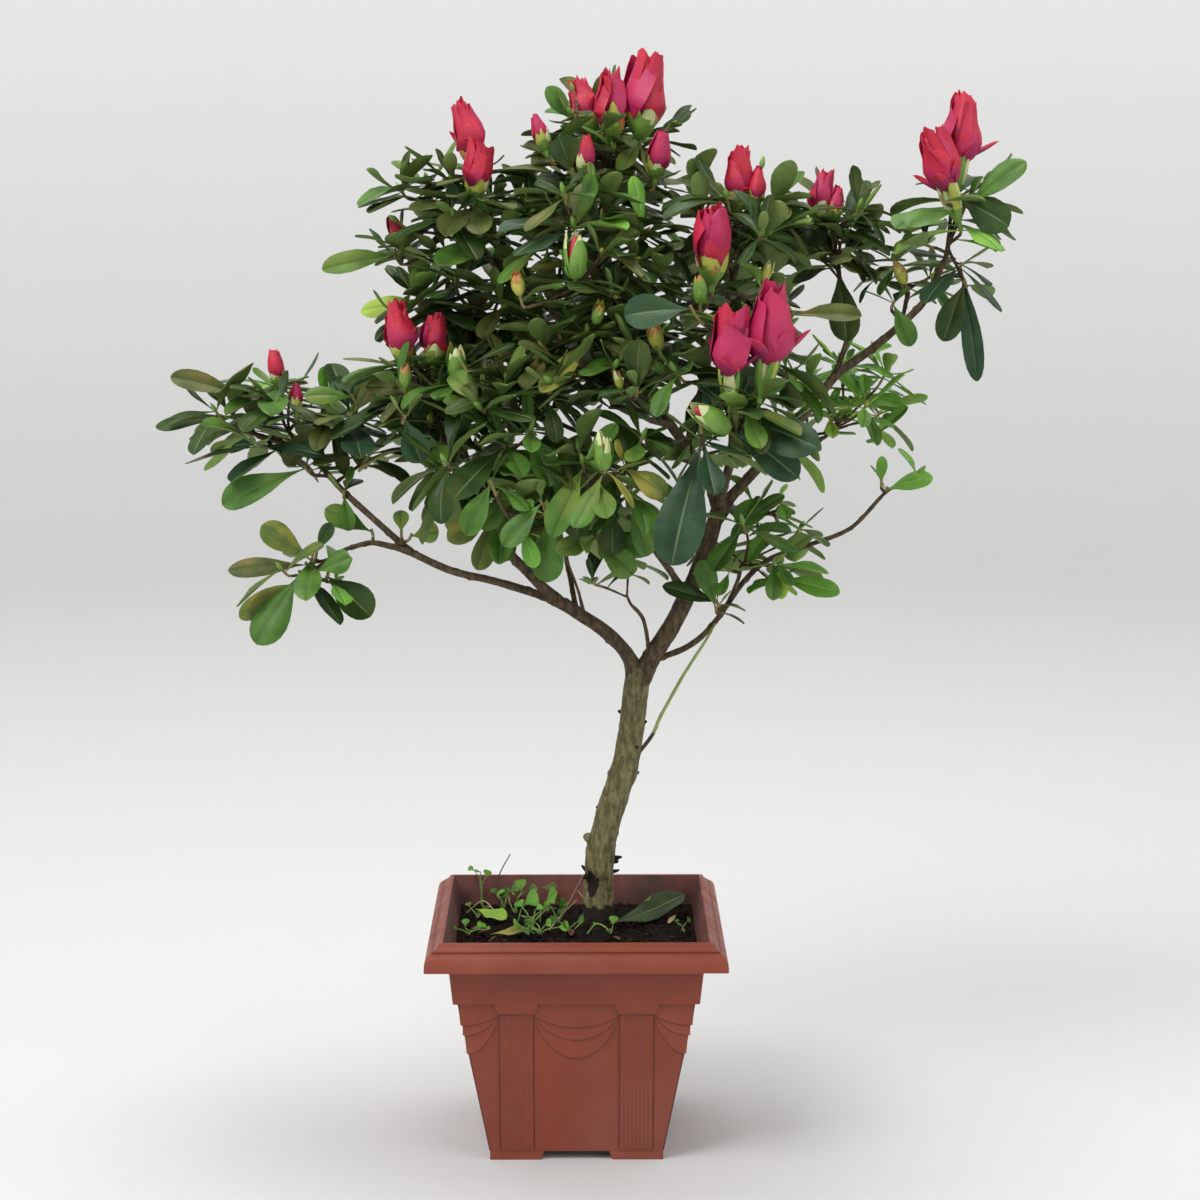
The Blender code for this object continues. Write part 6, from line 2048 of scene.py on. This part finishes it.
def add_capital(builder, turn, centre):
    """The block that carries the collar down to a pilaster, its sides curved in towards the neck."""
    grid = []
    levels = (0.0, 0.2, 0.36, 0.42, 0.55, 0.68, 0.78, 0.86, 0.93, 1.0)
    for f in levels:
        z = COLLAR_BOTTOM + 0.0005 + (NECK - COLLAR_BOTTOM - 0.0005) * f
        half = CAPITAL_HALF
        if f > 0.38:
            turn_in = math.sin(math.pi / 2 * (f - 0.38) / 0.62)
            half = CAPITAL_HALF - 0.0007 + (PILASTER_HALF + 0.0008 - CAPITAL_HALF + 0.0007) * turn_in
        depth = min(COLLAR_HALF - wall_half(z) + WALL_SLOPE * 0.0005, 0.0026)
        if f > 0.9:
            depth *= 0.55
        shape = [(-half - GROOVE_LINE, 0.0001), (-half, 0.0001)]
        shape += [(half * s, depth) for s in (-1, -0.5, 0, 0.5, 1)]
        shape += [(half, 0.0001), (half + GROOVE_LINE, 0.0001)]
        grid.append([(centre + u, z, d) for u, d in shape])
    last = len(levels) - 2

    # The capital's sides, the lines beside them and its lowest band at the neck are painted shade.
    def slot_at(i, k):
        return GROOVE_SHADE if k < 2 or k > 5 or i == last else PLASTIC

    add_slab(builder, turn, grid, slot_at)


def foot_pieces():
    """Four feet, one under each corner of the pot, each an L in plan with slanted inner ends."""
    half = FOOT_HALF
    inner = half - FOOT_WIDTH
    for turn in range(4):
        rotation = Matrix.Rotation(turn * math.pi / 2, 3, "Z")
        levels = ((0.0, ARCH_HALF + ARCH_SPLAY), (FOOT_HEIGHT, ARCH_HALF))
        vertices = []
        for z, end in levels:
            plan = ((end, -half), (half, -half), (half, -end), (inner, -end), (inner, -inner), (end, -inner))
            vertices += [rotation @ Vector((x, y, z)) for x, y in plan]
        faces = [(5, 4, 3, 2, 1, 0), (6, 7, 8, 9, 10, 11)]
        faces += [(k, (k + 1) % 6, 6 + (k + 1) % 6, 6 + k) for k in range(6)]
        yield vertices, faces


def pot_material():
    """Terracotta-brown moulded plastic, with dusty patches and fine scuffs."""
    material = plain_material("pot_plastic", tint(140, 66, 46), 0.42)
    tree = material.node_tree
    shader = tree.nodes["Principled BSDF"]
    shader.inputs["Specular IOR Level"].default_value = 0.3
    shade = add_range(tree, add_noise(tree, 16, 5.0), 0.35, 0.7)
    colour = add_mix(tree, shade, tint(134, 64, 46), tint(122, 60, 43))
    dust = add_range(tree, add_noise(tree, 13, 6.0), 0.5, 0.72, 0.0, 0.5)
    colour = add_mix(tree, dust, colour, tint(150, 92, 82))
    film = add_range(tree, add_noise(tree, 90, 4.0), 0.62, 0.8, 0.0, 0.35)
    colour = add_mix(tree, film, colour, tint(110, 84, 58))
    tree.links.new(colour, shader.inputs["Base Color"])
    rough = add_range(tree, add_noise(tree, 60, 5.0), 0.35, 0.7, 0.36, 0.58)
    tree.links.new(rough, shader.inputs["Roughness"])
    add_bump(tree, shader, add_noise(tree, 420, 3.0), 0.00006)
    return material


def make_pot():
    """The pot's shell and feet, and the relief on its four faces."""
    plastic = pot_material()
    # Darker plastic that paints the shade in the grooves and on the relief's edges.
    groove_shade = mottled("pot_grime", tint(98, 47, 33), tint(78, 44, 32), 300, (0.3, 0.7), 0.7, 700, 0.0001)
    shade = mottled("pot_shade", tint(128, 59, 41), tint(112, 55, 38), 120, (0.3, 0.7), 0.55, 700, 0.0001)
    # Dark mottled plastic that paints the shade inside the pot.
    inside_shade = mottled("pot_inside", tint(106, 52, 44), tint(66, 38, 32), 60, (0.35, 0.65), 0.65, 500, 0.0001)
    body = Builder("pot_body", [plastic, groove_shade, inside_shade])
    profile = pot_profile()
    vertices = [point for half, z in profile for point in square_ring(half, z)]
    faces = tube_faces(len(profile), RING_POINTS)
    rows = [k // RING_POINTS for k in range(len(faces) - 2)]
    # The rows down the inside of the shell and its floor take the painted shade of the inside.
    inside_from = len(profile) - INSIDE_ROWS
    # The rim's groove row takes the painted shade of the grooves.
    walls = [INSIDE_SHADE if row >= inside_from else GROOVE_SHADE if row in GROOVE_ROWS else PLASTIC for row in rows]
    body.add(vertices, faces, [*walls, PLASTIC, INSIDE_SHADE])
    for vertices, faces in foot_pieces():
        body.add(vertices, faces)
    relief = Builder("pot_relief", [plastic, groove_shade, shade])
    for turn in range(4):
        angle = turn * math.pi / 2
        add_middle_panel(relief, angle)
        for hand in (-1, 1):
            add_corner_panel(relief, angle, hand)
            add_pilaster(relief, angle, hand * PILASTER_CENTRE)
            add_capital(relief, angle, hand * PILASTER_CENTRE)
    body.make_piece("pot", "pot", sharp=35)
    relief.make_piece("pot", sharp=28)


def make_soil():
    """Moist dark soil with an uneven crumbly top."""
    earth = mottled("soil_dark", tint(24, 18, 15), tint(40, 30, 24), 420, (0.42, 0.72), 0.95, 900, 0.001)
    crumb = mottled("soil_crumb", tint(58, 38, 28), tint(34, 24, 19), 300, (0.3, 0.7), 0.95, 900, 0.0006)
    for material in (earth, crumb):
        material.node_tree.nodes["Principled BSDF"].inputs["Specular IOR Level"].default_value = 0.12
    builder = Builder("soil_bed", [earth, crumb])
    half = inner_half(SOIL_TOP) - GAP
    foot = Vector(TRUNK_ROUTE[0]).to_2d()
    builder.add(*soil_body(half, foot), 0)
    rng = random.Random("crumbs")
    for number in range(CRUMBS):
        x = rng.uniform(-half, half) * 0.96
        y = rng.uniform(-half, half) * 0.96
        if number < FOOT_CRUMBS:
            x = foot.x + rng.gauss(0, 0.008)
            y = foot.y + rng.gauss(0, 0.008)
        size = rng.uniform(0.0006, 0.0019)
        add_crumb(builder, Vector((x, y, SOIL_TOP + size * 0.3)), size, rng, 1 if rng.random() < 0.35 else 0)
    builder.make_piece("soil", "soil", sharp=40)


SOIL_CELLS = 110
CRUMBS = 1050
FOOT_CRUMBS = 150


def soil_rise(x, y, foot):
    """How far the soil's top stands up at a place: uneven, and heaped a little round the trunk."""
    place = Vector((x, y, 0))
    rise = 0.0022 * noise.noise(place * 45) + 0.0013 * noise.noise(place * 160)
    rise += 0.0007 * noise.noise(place * 480)
    return rise + 0.0015 * math.exp(-((Vector((x, y)) - foot).length / 0.016) ** 2)


def soil_body(half, foot):
    """The vertices and faces of the soil: a fine uneven top, and plain sides down inside the pot."""
    vertices = []
    for row in range(SOIL_CELLS + 1):
        for column in range(SOIL_CELLS + 1):
            x = half * (2 * column / SOIL_CELLS - 1)
            y = half * (2 * row / SOIL_CELLS - 1)
            at_edge = row in (0, SOIL_CELLS) or column in (0, SOIL_CELLS)
            rise = 0.0 if at_edge else soil_rise(x, y, foot)
            vertices.append((x, y, SOIL_TOP + rise - 0.0004))
    count = SOIL_CELLS + 1
    faces = grid_faces(count, count)
    edge = ring = grid_edge(count, count)
    for level in (COLLAR_BOTTOM, FOOT_HEIGHT + WALL + GAP):
        low_half = inner_half(level) - GAP
        start = len(vertices)
        vertices += [
            (vertices[k][0] * low_half / half, vertices[k][1] * low_half / half, level) for k in edge
        ]
        low = [start + k for k in range(len(edge))]
        for (a, b), (c, d) in zip(ends_of(ring), ends_of(low)):
            faces.append((a, c, d, b))
        ring = low
    faces.append(tuple(reversed(ring)))
    return vertices, faces


SPROUT_STALK = 0
SPROUT_STRAW = 1
SPROUT_BROWN = 2


def add_sprout(leaves, stalks, foot, tip, size, width, kind, rng):
    """A thin bent stalk from the soil that carries one small round leaf."""
    bend = Vector((rng.uniform(-1, 1), rng.uniform(-1, 1), 1)) * (tip - foot).length * 0.12
    middle = foot.lerp(tip, 0.5) + bend
    route = smooth([foot, middle, tip], 4)
    stalks.add(*tube(route, taper(route, 0.00042, 0.0003), 5), SPROUT_STALK)
    direction = Vector((tip.x - foot.x + rng.uniform(-0.004, 0.004), tip.y - foot.y, 0.003)).normalized()
    upper = across(direction, Vector((rng.uniform(-0.3, 0.3), -0.55, 0.8)))
    blade = Blade(
        tip, direction, upper, size, width, 0.78, rng.uniform(-0.2, 0.5), 0.1, rng.uniform(-0.1, 0.3),
        (0.08, rng.uniform(0, 6)), 0.0,
    )
    top, low = leaf_points(blade)
    add_leaf(leaves, top, low, kind)


def add_loose_leaf(leaves, root, tip, width, upper, curl, twist, kind):
    """A fallen leaf, lying from its root to its tip."""
    root = Vector(root)
    way = Vector(tip) - root
    direction = way.normalized()
    upper = across(direction, Vector(upper))
    blade = Blade(root, direction, upper, way.length, width, 0.95, curl, 0.2, 0.1, (0.25, 1.0), twist)
    top, low = leaf_points(blade)
    add_leaf(leaves, top, low, kind)


def make_sprouts(greens):
    """The seedlings, fallen leaves and bits of straw on the soil in the pot."""
    leaves = Builder("seedlings", greens)
    stalks = Builder("stalks", [
        plain_material("sprout_stalk", tint(128, 160, 84), 0.6),
        plain_material("straw", tint(176, 158, 118), 0.7),
        plain_material("litter", tint(98, 62, 46), 0.8),
    ])
    rng = random.Random("sprouts")
    for cluster in CLUSTERS:
        foot = Vector((*cluster.foot, SOIL_TOP))
        for k in range(cluster.count):
            turn = k * GOLDEN + rng.uniform(-0.3, 0.3)
            away = cluster.spread * math.sqrt((k + 0.5) / cluster.count)
            tip = foot + Vector((away * math.cos(turn), away * math.sin(turn) * 0.8, 0))
            tip.z += cluster.height * rng.uniform(0.6, 1.0)
            start = foot + Vector((rng.uniform(-0.002, 0.002), rng.uniform(-0.002, 0.002), 0))
            size = cluster.size * rng.uniform(0.7, 1.1)
            kind = cluster.tone if rng.random() < 0.75 else "mid"
            add_sprout(leaves, stalks, start, tip, size, rng.uniform(0.95, 1.15), kind, rng)
    for root, tip, width, upper, curl, twist, kind in LOOSE_LEAVES:
        add_loose_leaf(leaves, root, tip, width, upper, curl, twist, kind)
    for points, slot in STALKS:
        route = smooth(points, 5)
        stalks.add(*tube(route, taper(route, 0.0005, 0.0003), 6), slot)
    half = inner_half(SOIL_TOP) - 0.008
    for _ in range(26):
        place = Vector((rng.uniform(-half, half), rng.uniform(-half, half), SOIL_TOP + 0.0018))
        turn = rng.uniform(0, 6.28)
        direction = Vector((math.cos(turn), math.sin(turn), rng.uniform(-0.1, 0.3))).normalized()
        length = rng.uniform(0.003, 0.009)
        slot = SPROUT_BROWN if rng.random() < 0.75 else SPROUT_STRAW
        upper = across(direction, UP)
        add_scale(stalks, place, direction, upper, length, length * rng.uniform(0.15, 0.5), slot)
    leaves.make_piece("foliage")
    stalks.make_piece("foliage")


def add_crumb(builder, centre, size, rng, slot):
    """A small angular crumb with six uneven corners."""
    corners = []
    for way in ((1, 0, 0), (0, 1, 0), (-1, 0, 0), (0, -1, 0), (0, 0, 1), (0, 0, -1)):
        corners.append(centre + Vector(way) * size * rng.uniform(0.6, 1.3))
    faces = [(0, 1, 4), (1, 2, 4), (2, 3, 4), (3, 0, 4), (1, 0, 5), (2, 1, 5), (3, 2, 5), (0, 3, 5)]
    builder.add(corners, faces, slot)


def stage_material():
    """Matt grey-white card, painted paler up the wall to make up for the weaker light that reaches it there.
    """
    material = plain_material("floor", (0.62, 0.62, 0.615), 0.9)
    tree = material.node_tree
    place = tree.nodes.new("ShaderNodeTexCoord")
    split = tree.nodes.new("ShaderNodeSeparateXYZ")
    tree.links.new(place.outputs["Object"], split.inputs["Vector"])
    # The paler colour higher up the wall is painted light.
    rise = add_range(tree, split.outputs["Z"], 0.0, 0.9)
    colour = add_mix(tree, rise, (0.60, 0.60, 0.598), (0.86, 0.86, 0.863))
    tree.links.new(colour, tree.nodes["Principled BSDF"].inputs["Base Color"])
    return material


def make_stage():
    """A pale floor that curves up into a wall all round, far outside the camera's place."""
    rings = [(0.0, 0.0), (1.2, 0.0), (2.2, 0.0)]
    for angle in [math.radians(k) for k in range(10, 91, 10)]:
        rings.append((2.2 + 1.2 * math.sin(angle), 1.2 - 1.2 * math.cos(angle)))
    rings.append((3.4, 3.0))
    sides = 72
    vertices = []
    for radius, z in rings[1:]:
        for k in range(sides):
            angle = 2 * math.pi * k / sides
            vertices.append((radius * math.cos(angle), radius * math.sin(angle), z))
    faces = [tuple(range(sides)), *tube_faces(len(rings) - 1, sides)[:-2]]
    builder = Builder("floor", [stage_material()])
    builder.add(vertices, faces)
    builder.make(80)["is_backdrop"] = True


def make_light():
    """Soft daylight from a broad window above and to the left, with a weaker one on the right."""
    world = bpy.data.worlds.new("studio")
    bpy.context.scene.world = world
    world.use_nodes = True
    background = world.node_tree.nodes["Background"]
    background.inputs["Color"].default_value = (1.0, 0.995, 0.98, 1)
    background.inputs["Strength"].default_value = 0.75
    for name, place, size, power in (
        ("key", (-1.2, -1.2, 2.2), 1.4, 40),
        ("fill", (1.7, -1.2, 1.2), 1.6, 10),
        ("top", (0.1, 0.3, 2.5), 1.2, 26),
    ):
        data = bpy.data.lights.new(name, "AREA")
        data.shape = "DISK"
        data.size = size
        data.energy = power
        lamp = bpy.data.objects.new(name, data)
        lamp.location = place
        lamp.rotation_euler = (Vector((0, 0, 0.35)) - Vector(place)).to_track_quat("-Z", "Y").to_euler()
        bpy.context.scene.collection.objects.link(lamp)


def set_view():
    bpy.context.scene.view_settings.view_transform = "Standard"


def make_camera():
    data = bpy.data.cameras.new("camera")
    data.lens = CAMERA_LENS
    data.sensor_width = SENSOR
    camera = bpy.data.objects.new("camera", data)
    camera.location = CAMERA_PLACE
    camera.rotation_euler = [math.radians(turn) for turn in CAMERA_TURN]
    bpy.context.scene.collection.objects.link(camera)
    bpy.context.scene.camera = camera


def write_sizes():
    """The box of the solids and the box of these looks, gathered into a table that is not kept."""
    boxes = {"cad": CAD_BOX, "visual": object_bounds()}
    {name: [list(corner) for corner in box] for name, box in boxes.items()}


def main():
    set_view()
    make_camera()
    make_light()
    make_stage()
    chains = make_chains()
    make_pot()
    make_soil()
    make_bark(chains)
    greens = leaf_materials()
    make_foliage(chains, greens)
    make_sprouts(greens)
    write_sizes()


main()
